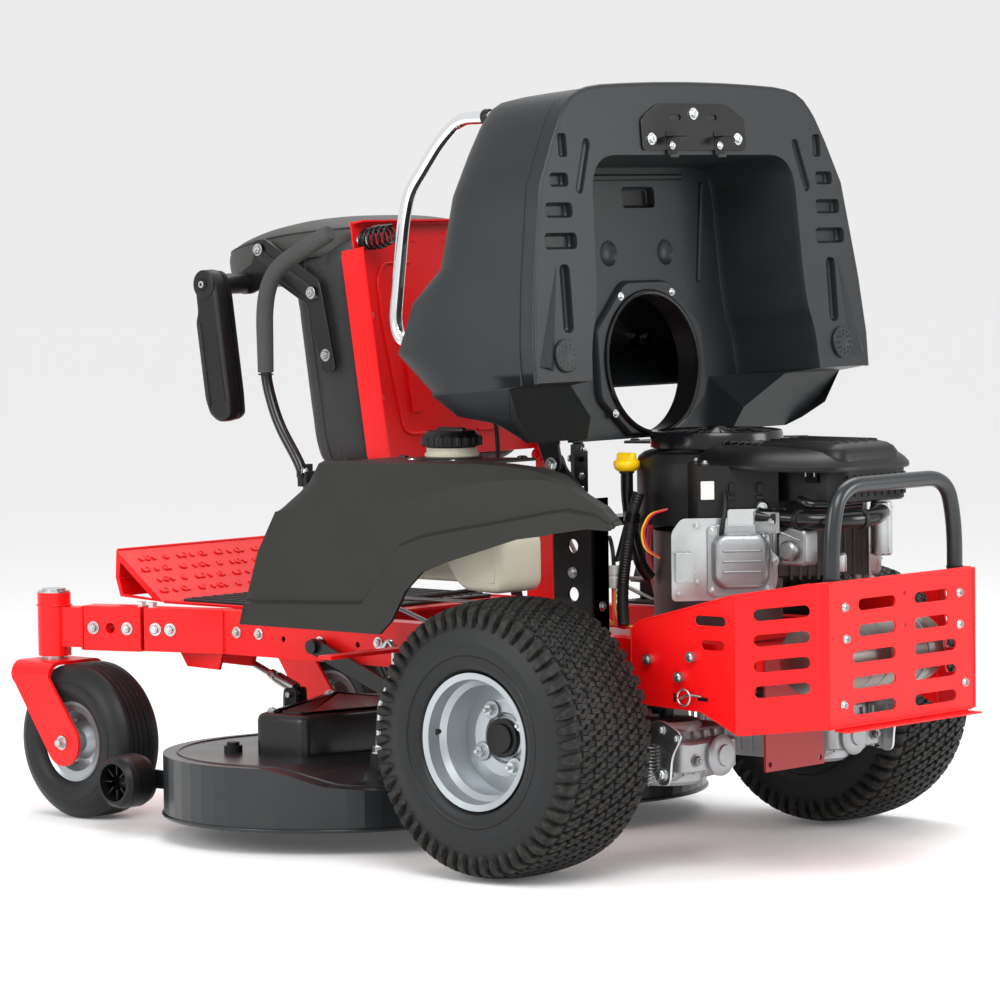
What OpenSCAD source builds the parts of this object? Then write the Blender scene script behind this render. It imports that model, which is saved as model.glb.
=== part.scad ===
// Zero turn mower in its service pose: seat tipped forward, hood raised.
// +X is the driving direction, +Y the driver's left, +Z up. The ground is z = 0.
// The modules measure X from the rear axle; chassis() puts them in the part's own frame.

/* [Wheels] */
// Distance from the rear axle to the caster wheel axle
wheelbase = 1106; // [1090:1:1120]
// Rear tyre radius
rear_r = 228; // [222:1:230]
// Rear tyre half width
rear_hw = 103; // [98:1:104]
// Half of the rear track, tyre centre to tyre centre
rear_y = 427; // [424:1:430]
// Caster tyre radius
caster_r = 139; // [136:1:139]
// Half of the front track
caster_y = 332; // [330:1:334]
// Caster trail, swivel axis to wheel axle
trail = 90; // [86:1:94]

/* [Frame] */
// Height of the underside of the rails
rail_z = 300; // [298:1:302]
// Rail tube height
rail_h = 78; // [74:1:78]
// Rail tube width
rail_w = 38; // [36:1:38]
// Rail tube wall
rail_wall = 3; // [2.5:0.5:4]

/* [Deck] */
// Height of the deck's lower edge
deck_z0 = 40; // [36:1:44]
// Height of the deck's top
deck_z1 = 148; // [146:1:150]
// Sheet thickness of the deck
deck_t = 4; // [3:0.5:5]
// Blade tip radius
blade_r = 234; // [220:1:235]

/* [Seat] */
// Height of the seat hinge
seat_z = 640; // [638:1:642]
// Angle that the seat is tipped forward
seat_tip = 99; // [96:1:99]
// Length of the seat pan
pan_l = 425; // [420:1:426]

/* [Hood] */
// Forward lean of the raised hood
hood_lean = 4.5; // [4:0.5:5]
// Thickness of the hood moulding
hood_t = 5; // [4:0.5:6]
// Radius of the air duct in the hood
duct_r = 121; // [120:1:122]

// Angle that the hood turns down to close
hood_swing = 76; // [74:1:77]

/* [Hidden] */
axle_x = -376;
fit = 0.05;
gap = 0.4;
front_x = wheelbase + trail;
hood_px = 95;
hood_pz = 655;
seat_x = 505;
engine_x = -58;
engine_y = -30;
shaft_x = 605;
shaft_z = 328;
deck_l = [595, 240, 290];
deck_r = [505, -228, 285];
scalp_l = [888, 446, 92];
scalp_r = [799, -434, 92];
lever_x = 538;
lever_y = 349;
lever_z = 560;
swing_z = 625;
bend_x = 850;
rail_y = 226;
key_at = [330, -400];
knob_at = [272, -400];
choke_at = [222, -346];
cap_at = [200, 345];

// ---- shared shapes -------------------------------------------------------
module chassis() translate([axle_x, 0, 0]) children();
module for_side(s) mirror([0, s < 0 ? 1 : 0, 0]) children();
module both() { children(); mirror([0, 1, 0]) children(); }
module box(x0, x1, y0, y1, z0, z1) translate([x0, y0, z0]) cube([x1 - x0, y1 - y0, z1 - z0]);
module cyl_y(x, z, y0, y1, r, fn = 48)
  translate([x, y1, z]) rotate([90, 0, 0]) cylinder(r = r, h = y1 - y0, $fn = fn);
module cyl_x(y, z, x0, x1, r, fn = 48)
  translate([x0, y, z]) rotate([0, 90, 0]) cylinder(r = r, h = x1 - x0, $fn = fn);
module cyl_z(x, y, z0, z1, r, fn = 48) translate([x, y, z0]) cylinder(r = r, h = z1 - z0, $fn = fn);
// A side-view outline in X and Z, extruded from y0 to y1
module side_plate(y0, y1) translate([0, y1, 0]) rotate([90, 0, 0]) linear_extrude(y1 - y0) children();
module spin_y(x, y, z) translate([x, y, z]) rotate([-90, 0, 0]) rotate_extrude($fn = 96) children();
module round_box(w, h, r) {
  square([w - 2 * r, h], center = true);
  square([w, h - 2 * r], center = true);
  for (i = [-1, 1], j = [-1, 1]) translate([i * (w / 2 - r), j * (h / 2 - r)]) circle(r, $fn = 32);
}
module slot(l, w) {
  square([l - w, w], center = true);
  for (i = [-1, 1]) translate([i * (l - w) / 2, 0]) circle(w / 2, $fn = 24);
}
module sheet_slot(l, w, t) translate([0, 0, -t]) linear_extrude(2 * t) slot(l, w);
// A flat bar between two points of an X-Z view, with round ends
module bar2(a, b, w) {
  d = b - a;
  translate(a) rotate(atan2(d[1], d[0])) translate([0, -w / 2]) square([norm(d), w]);
  translate(a) circle(w / 2, $fn = 36);
  translate(b) circle(w / 2, $fn = 36);
}
function unit(v) = v / norm(v);
function arc(c, r, a0, a1, n) = [for (i = [0:n]) let(a = a0 + (a1 - a0) * i / n) c + r * [cos(a), sin(a)]];
function bend(a, p, b, d, n) = let(s = p + unit(a - p) * d, e = p + unit(b - p) * d)
  [for (k = [0:n]) let(t = k / n) (1 - t) * (1 - t) * s + 2 * (1 - t) * t * p + t * t * e];
function rounded(p, d, n = 4) = concat([p[0]],
  [for (i = [1:len(p) - 2]) each bend(p[i - 1], p[i], p[i + 1], d, n)], [p[len(p) - 1]]);
function tangent(p, i) = i == 0 ? unit(p[1] - p[0])
  : i == len(p) - 1 ? unit(p[i] - p[i - 1])
  : unit(unit(p[i + 1] - p[i]) + unit(p[i] - p[i - 1]));
// A round bar swept along points; ref is never parallel to the path
module sweep(p, r, ref = [0, 1, 0], n = 12) {
  m = len(p);
  pts = [for (i = [0:m - 1]) let(t = tangent(p, i), a = unit(cross(t, ref)), b = cross(t, a))
    for (k = [0:n - 1]) p[i] + r * (cos(k * 360 / n) * a + sin(k * 360 / n) * b)];
  walls = [for (i = [0:m - 2], k = [0:n - 1])
    [i * n + k, (i + 1) * n + k, (i + 1) * n + (k + 1) % n, i * n + (k + 1) % n]];
  polyhedron(pts, concat(walls, [[for (k = [0:n - 1]) k]], [[for (k = [n - 1:-1:0]) (m - 1) * n + k]]));
}
function spow(v, e) = sign(v) * pow(abs(v), e);
function tyre_half(r, rc, r0, hw, wb, e) = concat([[r0, -wb], [r0 + 8, -wb - 9], [rc - 10, -hw]],
  [for (a = [-80:16:80]) [rc + (r - rc) * spow(cos(a), e), hw * spow(sin(a), e)]],
  [[rc - 10, hw], [r0 + 8, wb + 9], [r0, wb]]);
// A tyre section that is open towards the rim
module tyre_section(r, rc, r0, hw, wb, e, wall) difference() {
  polygon(tyre_half(r, rc, r0, hw, wb, e));
  polygon(tyre_half(r - wall, rc, r0 - 1, hw - wall, wb - wall, e));
}
module hex_head(x, y, z, r, h) translate([x, y, z]) cylinder(r = r, h = h, $fn = 6);

// ---- frame ---------------------------------------------------------------
module rail_tube(l) difference() {
  translate([0, -rail_w / 2, rail_z]) cube([l, rail_w, rail_h]);
  translate([-1, -rail_w / 2 + rail_wall, rail_z + rail_wall])
    cube([l + 2, rail_w - 2 * rail_wall, rail_h - 2 * rail_wall]);
}
arm_a = atan2(caster_y - rail_y, front_x - bend_x);
arm_l = norm([caster_y - rail_y, front_x - bend_x]);
module along_arm() translate([bend_x, rail_y, 0]) rotate([0, 0, arm_a]) children();
module main_frame() color("red") chassis() {
  difference() {
    union() {
      both() {
        translate([-330, rail_y, 0]) rail_tube(bend_x + 330 + 4);
        along_arm() rail_tube(arm_l - 196);
      }
      for (x = [-240, 110, 640]) box(x, x + 40, -rail_y + 20, rail_y - 20, rail_z + 4, rail_z + 60);
      box(930, 980, -238, 238, rail_z + 4, rail_z + 60);
      // hitch plate
      box(-243.5, -239, -77, 77, 152, rail_z + 50);
    }
    for (y = [-66, 66]) cyl_x(y, 164, -250, -230, 5, 24);
    cyl_y(shaft_x, shaft_z, -260, 260, 12 + fit);
    for (x = [150, 290, 430, 520, 700]) cyl_y(x, rail_z + 34, 236, 260, 5, 24);
  }
  // engine plate between the rails
  difference() {
    box(-200, 100, -rail_y + 19, rail_y - 19, 364, 372);
    cyl_z(engine_x, engine_y, 360, 376, 30);
  }
  both() {
    // seat hinge posts and their pins
    box(486, 524, 226, 234, rail_z + rail_h, seat_z + 12);
    cyl_y(seat_x, seat_z, 200, 226, 6);
    // control lever posts and pivot pins
    box(lever_x - 18, lever_x + 18, 262, 286, rail_z + rail_h, lever_z + 18);
    cyl_y(lever_x, lever_z, 286, 350, 8);
    box(lever_x - 18, lever_x + 18, 234.01, 262, rail_z + rail_h, rail_z + rail_h + 20);
    // guard brackets on the rails
    box(-260, -150, rail_y + rail_w / 2, 264.5, 318, 362);
    // front link bracket under the rail
    difference() {
      side_plate(150, 240) polygon([[868, 270], [948, 272], [968, rail_z], [858, rail_z]]);
      box(850, 975, 160, 234, 260, rail_z - 3);
    }
    // fender brackets
    box(330, 360, rail_y + rail_w / 2, 505, 340, 346);
    box(20, 50, rail_y + rail_w / 2, 300, 366, 372);
  }
}
module front_axle_arms() color("red") chassis() both() difference() {
  union() {
    along_arm() difference() {
      translate([arm_l - 190, -rail_w / 2 - 4, rail_z - 1])
        cube([118, rail_w + 8, rail_h + 2]);
      for (t = [95, 129, 164]) translate([arm_l - t, 0, rail_z + 40])
        rotate([90, 0, 0]) cylinder(r = t == 129 ? 9.5 : 6, h = 90, center = true, $fn = 32);
    }
    along_arm() translate([arm_l - 73, -16, rail_z + 3]) cube([50, 32, rail_h - 6]);
    cyl_z(front_x, caster_y, 286, 400, 30);
  }
  cyl_z(front_x, caster_y, 280, 410, 13);
}
module foot_plate() color("red") chassis() {
  t = 3;
  outer = [[560, 381], [1035, 381], [1155, 470], [1158, 420], [1146, 386]];
  inner = [[1143, 387], [1155, 420.5], [1152.4, 464], [1034, 378.4], [560, 378.4]];
  side_plate(-212, 212) polygon(concat(outer, inner));
  slope = atan2(89, 120);
  for (i = [0:3], j = [-6:6]) let(y = j * 32 + (i % 2) * 16) if (abs(y) < 200)
    translate([1035 + 24 + i * 24, y, 381 + (24 + i * 24) * 89 / 120]) rotate([0, -slope, 0])
      cylinder(r = 6, h = 2.5, $fn = 16);
  both() difference() {
    side_plate(212, 215) polygon([[1035, 381], [1155, 470], [1158, 420], [1146, 386]]);
    side_plate(211, 216) polygon([[1062, 386], [1146, 449], [1149, 420], [1139, 391]]);
  }
}
fender_top = [[520, 430], [502, 513], [460, 582], [404, 635], [372, 668], [33, 675], [-95, 668],
  [-191, 645], [-276, 617], [-304, 587]];
fender_low = [[-259, 581], [-87, 556], [81, 509], [125, 492], [155, 463], [187, 413], [215, 389],
  [540, 389]];
module fender_wall() {
  side_plate(506, 510) polygon(concat([[535, 430]], fender_top, fender_low));
  // rolled edge that follows the top line
  side_plate(446, 506) difference() {
    polygon(concat([[535, 430]], fender_top, [[-304, 560], [535, 380]]));
    polygon(concat([[531, 420]], [for (p = fender_top) p + [p[0] > 380 ? -4 : 0, -4]],
      [[-320, 560], [531, 370]]));
  }
  // shelf over the tank or the battery
  side_plate(286, 446) polygon([[62, 668], [372, 661], [372, 665], [62, 672]]);
}
module fenders() color([0.28, 0.28, 0.27]) chassis() {
  difference() {
    fender_wall();
    cyl_z(cap_at[0], cap_at[1], 640, 680, 44);
  }
  // the right-hand fender ends ahead of the engine
  difference() {
    for_side(-1) fender_wall();
    box(-340, 95, -520, -440, 480, 700);
    box(-340, 62, -520, -280, 480, 700);
    cyl_z(key_at[0], key_at[1], 640, 700, 6 + fit);
    cyl_z(knob_at[0], knob_at[1], 640, 700, 5 + fit);
    box(choke_at[0] - 40, choke_at[0] + 40, choke_at[1] - 4.5, choke_at[1] + 4.5, 640, 700);
  }
  // pivot of the throttle lever, under the shelf
  box(choke_at[0] - 8, choke_at[0] + 8, choke_at[1] + 5, choke_at[1] + 9, 616, 666);
  cyl_y(choke_at[0], 624, choke_at[1] - 4, choke_at[1] + 5, 3);
}
module ignition_key() color("silver") chassis() translate([key_at[0], key_at[1], 0]) {
  cyl_z(0, 0, 636, 668, 6);
  cyl_z(0, 0, 668, 674, 11);
  box(-1.5, 1.5, -11, 11, 673, 698);
}
module pto_knob() color("gold") chassis() translate([knob_at[0], knob_at[1], 0]) {
  cyl_z(0, 0, 630, 676, 5);
  cyl_z(0, 0, 675, 680, 12);
  cyl_z(0, 0, 680, 692, 17);
}
module throttle_lever() color([0.1, 0.1, 0.1]) chassis() difference() {
  union() {
    side_plate(choke_at[1] - 4, choke_at[1] + 4) bar2([choke_at[0], 624], [choke_at[0], 690], 12);
    cyl_y(choke_at[0], 692, choke_at[1] - 12, choke_at[1] + 12, 10);
  }
  cyl_y(choke_at[0], 624, choke_at[1] - 10, choke_at[1] + 10, 3 + fit);
}
module fuel_tank() color([0.9, 0.88, 0.8]) chassis() difference() {
  union() {
    box(100, 290, 300, 396, 470, 652);
    box(-10, 101, 340, 440, 470, 532);
    cyl_z(cap_at[0], cap_at[1], 652, 690, 42);
  }
  box(106, 284, 306, 390, 476, 646);
  cyl_z(cap_at[0], cap_at[1], 640, 700, 36);
}
module fuel_cap() color([0.06, 0.06, 0.06]) chassis() translate([cap_at[0], cap_at[1], 0]) difference() {
  union() {
    cyl_z(0, 0, 676, 706, 50, 64);
    cyl_z(0, 0, 706, 715, 44, 64);
    for (i = [0:11]) rotate([0, 0, i * 30]) box(47, 52, -4, 4, 680, 704);
  }
  cyl_z(0, 0, 670, 692, 42 + fit);
}
module electrics() chassis() {
  color([0.12, 0.12, 0.12]) box(190, 340, -400, -290, 384, 560);
  color([0.12, 0.12, 0.12]) box(184, 346, -405, -245.2, 378.2, 384);
  color([0.85, 0.85, 0.8]) for (x = [15, 40]) box(x, x + 14, 138, 152, 448, 486);
  color("gold") sweep(rounded([[22, 145, 448], [20, 146, 410], [0, 142, 385], [-18, 140, 380]], 12), 3,
    [0, 1, 0.2], 8);
  color("magenta") sweep(rounded([[47, 145, 448], [50, 148, 405], [20, 152, 386], [-13, 152, 386]], 12), 3,
    [0, 1, 0.2], 8);
}
module hood_support() color([0.1, 0.1, 0.1]) chassis() {
  both() {
    difference() {
      side_plate(197, 203) union() {
        polygon([[20, 372], [104, 372], [104, 600], [113, 655], [77, 655], [24, 600]]);
        translate([hood_px, hood_pz]) circle(18, $fn = 40);
      }
      for (z = [440, 520]) cyl_y(62, z, 190, 210, 12, 24);
    }
    box(20, 24, 160, 197, 372, 600);
    cyl_y(hood_px, hood_pz, 203, 216, 7);
  }
  box(80, 140, -197, 197, 545, 559.5);
}
// ---- rear guard ----------------------------------------------------------
guard_fold = [-337, 268];
guard_rear = [-467, 193];
panel_a = atan2(guard_fold[1] - guard_rear[1], guard_fold[0] - guard_rear[0]);
panel_l = norm(guard_fold - guard_rear);
module rear_guard() color("red") chassis() {
  t = 3;
  difference() {
    union() {
      box(-467, -467 + t, -193, 193, 248, 481);
      box(-494, -467, -178, 176, 243, 246);
      box(-467, -467 + t, -176, 176, 243, 248);
    }
    for (i = [0:4]) let(z = 441.6 - i * 41.6) {
      translate([-465, i < 2 ? 67 : 75, z]) rotate([0, 90, 0]) rotate([0, 0, 90])
        sheet_slot(i < 2 ? 98 : 112, 19, 6);
      translate([-465, i < 2 ? -78 : -88, z]) rotate([0, 90, 0]) rotate([0, 0, 90])
        sheet_slot(i < 2 ? 92 : 112, 19, 6);
    }
    for (z = [400, 452]) cyl_x(-6, z, -480, -450, 3.5, 24);
    cyl_z(-481, 0, 240, 250, 8);
  }
  both() {
    // slanted corner panel
    translate([guard_rear[0], guard_rear[1], 0]) rotate([0, 0, panel_a]) difference() {
      translate([0, t, 0]) rotate([90, 0, 0]) linear_extrude(t)
        polygon([[0, 250], [panel_l, 238], [panel_l, 461], [34, 481], [0, 481]]);
      for (i = [0:3]) translate([75, 1.5, 434 - i * 41]) rotate([90, 0, 0]) rotate([0, 0, -5.5])
        sheet_slot(91, 19, 6);
    }
    // side plate
    difference() {
      side_plate(265, 268) polygon([[-337, 238], [-337, 461], [-262, 442], [-128, 408], [-118, 396],
        [-118, 277], [-262, 272]]);
      translate([-285, 266, 418]) rotate([90, 0, 0]) sheet_slot(64, 16, 6);
      translate([-290, 266, 379]) rotate([90, 0, 0]) sheet_slot(48, 16, 6);
    }
  }
}
module bumper_hoop() color([0.15, 0.16, 0.17]) chassis()
  sweep(rounded([[-450.6, 163.6, 400], [-450.6, 163.6, 560], [-450.6, 140, 632], [-450.6, -140, 632],
    [-450.6, -163.6, 560], [-450.6, -163.6, 400]], 38, 5), 13, [1, 0, 0], 16);
module fasteners() color("silver") chassis() {
  for (p = [[150, 440], [147, 389], [155, 284], [-155, 442], [-155, 390], [-169, 293]])
    translate([-467, p[0], p[1]]) rotate([0, -90, 0]) cylinder(r1 = 8, r2 = 5, h = 4, $fn = 24);
  both() {
    for (p = [[-159, 350], [-249, 359], [-224, 325]]) cyl_y(p[0], p[1], 268, 276, 8, 24);
    cyl_z(front_x, caster_y, 400, 403, 29);
    cyl_z(front_x, caster_y, 403, 407, 22);
    along_arm() for (t = [182, 204]) hex_head(arm_l - t, 0, rail_z + rail_h + (t < 190 ? 1 : 0), 9, 8);
  }
}
// ---- engine --------------------------------------------------------------
cyl_a = 137.7;
module at_engine() chassis() translate([engine_x, engine_y, 0]) children();
module engine_block() color([0.7, 0.71, 0.72]) at_engine() difference() {
  union() {
    cylinder(r = 112, h = 18, $fn = 64);
    translate([0, 0, 372]) cylinder(r = 108, h = 168, $fn = 64);
    for (s = [-1, 1]) rotate([0, 0, s * cyl_a]) {
      translate([80, -42, 462]) cube([160, 84, 80]);
      for (i = [0:7]) translate([118 + i * 15, -53, 456]) cube([4, 106, 92]);
      translate([238, -50, 464]) cube([10, 100, 82]);
    }
    translate([60, -90, 400]) rotate([90, 0, 0]) cylinder(r = 34, h = 34, $fn = 40);
  }
  translate([0, 0, -1]) cylinder(r = 200, h = 373);
  cylinder(r = 14 + fit, h = 700, $fn = 48);
}
module rocker_covers() color([0.78, 0.78, 0.79]) at_engine() for (s = [-1, 1]) rotate([0, 0, s * cyl_a])
  translate([248, 0, 505]) rotate([0, 90, 0]) rotate([0, 0, 90]) {
    linear_extrude(5) round_box(108, 84, 10);
    translate([0, 0, 5]) linear_extrude(16) round_box(88, 66, 18);
    for (y = [-16, 0, 16]) translate([-34, y - 2, 21]) cube([68, 4, 3]);
    for (i = [-1, 1], j = [-1, 1]) translate([i * 46, j * 34, 5]) cylinder(r = 6, h = 6, $fn = 6);
  }
// The front of the housing falls away under the closed hood
module blower_form(t) difference() {
  union() {
    translate([0, 0, 552 - 2 * t]) cylinder(r = 134 - t, h = 118 + t, $fn = 72);
    for (s = [-1, 1]) rotate([0, 0, s * cyl_a])
      translate([60, -66 + t, 556 - 2 * t]) cube([178 - t, 132 - 2 * t, 102 + t]);
  }
  translate([hood_px - engine_x, -engine_y, hood_pz]) rotate([0, hood_lean - hood_swing, 0])
    translate([-26 - t, -300, -60]) cube([200, 600, 400]);
}
module blower_housing() color([0.17, 0.17, 0.17]) at_engine() difference() {
  blower_form(0);
  blower_form(5);
  translate([0, 0, 600]) cylinder(r = 98, h = 100, $fn = 64);
}
module air_cleaner() color([0.16, 0.16, 0.16]) difference() {
  chassis() {
    translate([-292, -32, 596]) linear_extrude(60) round_box(246, 190, 30);
    translate([-292, -32, 656]) linear_extrude(24) round_box(232, 176, 34);
    translate([-292, -32, 680]) linear_extrude(14) round_box(200, 150, 40);
  }
  at_engine() blower_form(-0.2);
}
module engine_pipes() chassis() {
  color([0.12, 0.12, 0.12]) sweep(rounded([[-274, 110, 575], [-360, 104, 572], [-400, 50, 570],
    [-400, -20, 572], [-382, -58, 576]], 24), 14, [0, 0, 1], 14);
  color("silver") cyl_z(-330, -125, 500, 590, 18);
  color("silver") cyl_z(-300, 40, 520, 560, 16);
  color([0.1, 0.1, 0.1]) {
    sweep(rounded([[30, 100, 640], [30, 100, 600], [24, 96, 540], [18, 80, 480], [10, 66, 460]], 16), 9,
      [0, 1, 0.2], 12);
    sweep(rounded([[-58, 128, 556], [-40, 135, 500], [-34, 136, 430], [-40, 130, 380]], 20), 9,
      [0, 1, 0.2], 12);
  }
}
module muffler() color([0.62, 0.6, 0.57]) chassis() {
  cyl_y(-385, 350, -150, 150, 56, 56);
  cyl_y(-385, 350, -156, 156, 50, 56);
}
module dipstick() color("gold") chassis() {
  cyl_z(30, 100, 640.4, 650, 15, 40);
  box(20, 40, 91, 109, 648, 654);
}
module engine_screen() color([0.12, 0.12, 0.12]) at_engine() {
  translate([0, 0, 676]) difference() {
    cylinder(r = 111.5, h = 30, $fn = 96);
    translate([0, 0, -1]) cylinder(r = 106, h = 25, $fn = 96);
    translate([0, 0, 20]) cylinder(r = 100, h = 20, $fn = 96);
  }
  for (i = [0:11]) rotate([0, 0, i * 30]) translate([12, -1.5, 702]) cube([92, 3, 5]);
  for (r = [30, 48, 66, 84]) translate([0, 0, 704]) difference() {
    cylinder(r = r + 2, h = 12 - r / 9, $fn = 72);
    translate([0, 0, -1]) cylinder(r = r - 2, h = 20, $fn = 72);
  }
  translate([0, 0, 700]) cylinder(r = 16, h = 14, $fn = 48);
}
module crankshaft() color([0.6, 0.6, 0.62]) at_engine() {
  translate([0, 0, 240]) cylinder(r = 14, h = 459.9, $fn = 48);
  translate([0, 0, 292]) cylinder(r = 62, h = 44, $fn = 64);
  for (z = [240, 266]) translate([0, 0, z]) rotate_extrude($fn = 72)
    polygon([[13.5, 0], [60, 0], [60, 3], [50, 9], [60, 15], [60, 18], [13.5, 18]]);
}
module transaxle(s) chassis() for_side(s) {
  color([0.72, 0.72, 0.73]) {
    box(-190, 70, 100, 290, 150, 236);
    cyl_y(0, rear_r, 130, 318, 52, 56);
    translate([-130, 195, 140]) cylinder(r = 58, h = 110, $fn = 56);
    box(-226, -60, 120, 262, 168, 214);
    for (i = [0:4]) box(-190 + i * 52, -184 + i * 52, 96, 294, 144, 242);
    box(-40, 40, 207.5, 244.5, 282, 299.9);
  }
  color([0.6, 0.6, 0.62]) cyl_y(0, rear_r, 318, 432, 12.5);
  color([0.2, 0.2, 0.2]) translate([-130, 195, 250]) rotate_extrude($fn = 64)
    polygon([[0, 0], [12, 0], [12, 16], [52, 16], [44, 24], [52, 32], [0, 32]]);
}
module transaxles() { transaxle(1); transaxle(-1); }
module drive_belt() color([0.1, 0.1, 0.1]) chassis() translate([0, 0, 269.5]) linear_extrude(11)
  difference() {
    hull() {
      translate([engine_x, engine_y]) circle(66, $fn = 48);
      for (s = [-1, 1]) translate([-130, s * 195]) circle(60, $fn = 48);
    }
    hull() {
      translate([engine_x, engine_y]) circle(60.6, $fn = 48);
      for (s = [-1, 1]) translate([-130, s * 195]) circle(54.6, $fn = 48);
    }
  }
// ---- seat: modelled lowered, hinge at the origin, seat towards -X -----------
module seat_pose() chassis() translate([seat_x, 0, seat_z]) rotate([0, seat_tip, 0]) children();
module seat_pan() color("red") seat_pose() {
  difference() {
    box(-pan_l, -12, -218, 218, 0, 3);
    both() box(-pan_l - 1, 50 - pan_l, 192, 220, -5, 5);
    for (s = [-1, 1], x = [-330, -220, -110]) translate([x, s * 178, 0]) sheet_slot(34, 9, 4);
  }
  for (s = [-1, 1]) {
    box(-pan_l + 50, -12, s > 0 ? 218 : -221, s > 0 ? 221 : -218, -48, 3);
    difference() {
      union() {
        cyl_y(0, 0, s > 0 ? 206 : -222, s > 0 ? 222 : -206, 11);
        box(-20, 0, s > 0 ? 206 : -222, s > 0 ? 222 : -206, -8, 2.9);
      }
      cyl_y(0, 0, -230, 230, 6 + fit);
    }
  }
  box(-pan_l, -pan_l + 3, -190, 190, -24, 0);
  for (y = [-90, 90]) box(-330, -90, y - 12, y + 12, -4, 0);
}
module seat_springs() color([0.08, 0.08, 0.08]) seat_pose() for (s = [-1, 1])
  translate([-392, s * 172, -5]) sweep([for (i = [0:54]) let(a = i * 36)
    [17 * cos(a), 17 * sin(a), -2 - i * 1.3]], 2.6, [0, 0, 1], 6);
module seat_switch() color([0.1, 0.1, 0.1]) seat_pose() {
  translate([-170, -40, -24]) linear_extrude(23.6) round_box(64, 54, 10);
  translate([-170, -40, -34]) cylinder(r = 11, h = 12, $fn = 32);
}
module seat_cushion() color([0.2, 0.2, 0.21]) seat_pose() hull()
  for (p = [[-392, 165], [-340, 195], [-48, 195]], s = [-1, 1], z = [29, 103])
    translate([p[0], s * p[1], z]) sphere(25, $fn = 16);
module seat_back() color([0.2, 0.2, 0.21]) seat_pose() hull()
  for (x = [-420, -372], y = [-190, 190], z = [157, 310]) translate([x, y, z]) sphere(24, $fn = 16);
module seat_brackets() color([0.07, 0.07, 0.07]) seat_pose() for (s = [-1, 1]) for_side(s) {
  difference() {
    side_plate(223, 229) polygon([[-174, 46], [-174, 78], [-296, 95], [-350, 168], [-336, 226],
      [-340, 256], [-374, 256], [-392, 212], [-428, 206], [-426, 178], [-334, 60], [-310, 56]]);
    for (p = [[-204, 65], [-315, 77], [-409, 192]]) cyl_y(p[0], p[1], 220, 232, 4, 20);
  }
  cyl_y(-357, 238, 229, 286, 16);
  cyl_y(-357, 238, 286, 338, 6);
}
module armrest() color([0.08, 0.08, 0.08]) seat_pose() difference() {
  union() {
    side_plate(286.4, 330) union() {
      translate([-357, 238]) circle(27, $fn = 48);
      polygon([[-357, 211], [-330, 208], [-135, 216], [-120, 224], [-116, 240], [-124, 258],
        [-140, 266], [-357, 265]]);
    }
  }
  cyl_y(-357, 238, 280, 340, 6 + fit);
}
module armrest_left() armrest();
module armrest_right() mirror([0, 1, 0]) armrest();
module seat_lead() color([0.05, 0.05, 0.05]) chassis()
  sweep(rounded([[490, -40, 798], [462, -38, 770], [440, -32, 690], [432, -26, 600], [428, -22, 500],
    [426, -20, 420], [640, -20, 390]], 24), 4, [0, 1, 0.1], 8);
// ---- hood: modelled upright about its hinge, then leaned forward -------------
module hood_pose() chassis() translate([hood_px, 0, hood_pz]) rotate([0, hood_lean, 0]) children();
hood_side = [[-175, 132], [-175, 610], [-43, 606], [34, 600], [54, 490], [96, 334], [172, 281],
  [200, 201], [60, 90], [-20, 80], [-60, 40], [-98, 60], [-112, 127]];
hood_front = [[246, 611], [300, 590], [330, 560], [354, 520], [390, 450], [420, 290], [432, 190],
  [432, 127], [400, 74], [330, 35]];
hood_plan = [[-176, 432], [0, 426], [100, 405], [201, 350]];
function flipped(p) = [for (i = [len(p) - 1:-1:0]) [-p[i][0], p[i][1]]];
module hood_form(t) intersection() {
  side_plate(-440, 440) offset(delta = -t) polygon(hood_side);
  translate([-300, 0, 0]) rotate([90, 0, 90]) linear_extrude(600) offset(delta = -t)
    polygon(concat(hood_front, flipped(hood_front)));
  linear_extrude(800) offset(delta = -t)
    polygon(concat(hood_plan, [for (i = [3:-1:0]) [hood_plan[i][0], -hood_plan[i][1]]]));
}
module hood_shell() color([0.22, 0.23, 0.24]) hood_pose() {
  difference() {
    hood_form(0);
    hood_form(hood_t);
    box(-180, -15, -250, 250, 0, 498);
    box(-160, 60, -390, 390, 0, 150);
  }
  // recess walls and its floor with the duct hole
  difference() {
    box(-172, -10, -255, 255, 150, 503);
    box(-180, -15, -250, 250, 0, 498);
    cyl_x(engine_y, 160, -30, 10, duct_r, 96);
  }
  difference() {
    box(-15, -10, -188, 188, 42, 151);
    cyl_x(engine_y, 160, -30, 10, duct_r, 96);
  }
}
module hood_fittings() color([0.1, 0.1, 0.1]) hood_pose() {
  // screwed ring round the air duct
  difference() {
    cyl_x(engine_y, 160, -18.5, -15.01, duct_r + 14, 96);
    cyl_x(engine_y, 160, -30, 10, duct_r - 2, 96);
    box(-40, 20, -250, 250, 0, 42);
  }
  // latch plate and the clips that straddle the hoop
  translate([-175.01, 0, 544]) rotate([0, -90, 0]) rotate([0, 0, 90]) linear_extrude(3)
    polygon([[-135, -39], [135, -39], [135, 14], [88, 39], [-88, 39], [-135, 14]]);
  for (y = [-62, 62]) {
    box(-181, -178.01, y - 12, y + 12, 493.5, 535);
    box(-206, -180, y - 12, y + 12, 523.8, 526.8);
    box(-186, -180, y - 12, y + 12, 493.5, 496.5);
  }
  // hinge arms
  for (s = [-1, 1]) for_side(s) difference() {
    side_plate(206, 212) union() {
      circle(18, $fn = 40);
      polygon([[-18, 0], [18, 0], [40, 60], [40, 250], [-9.9, 250], [-9.9, 60]]);
    }
    cyl_y(0, 0, 200, 220, 7 + fit);
  }
}
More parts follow.
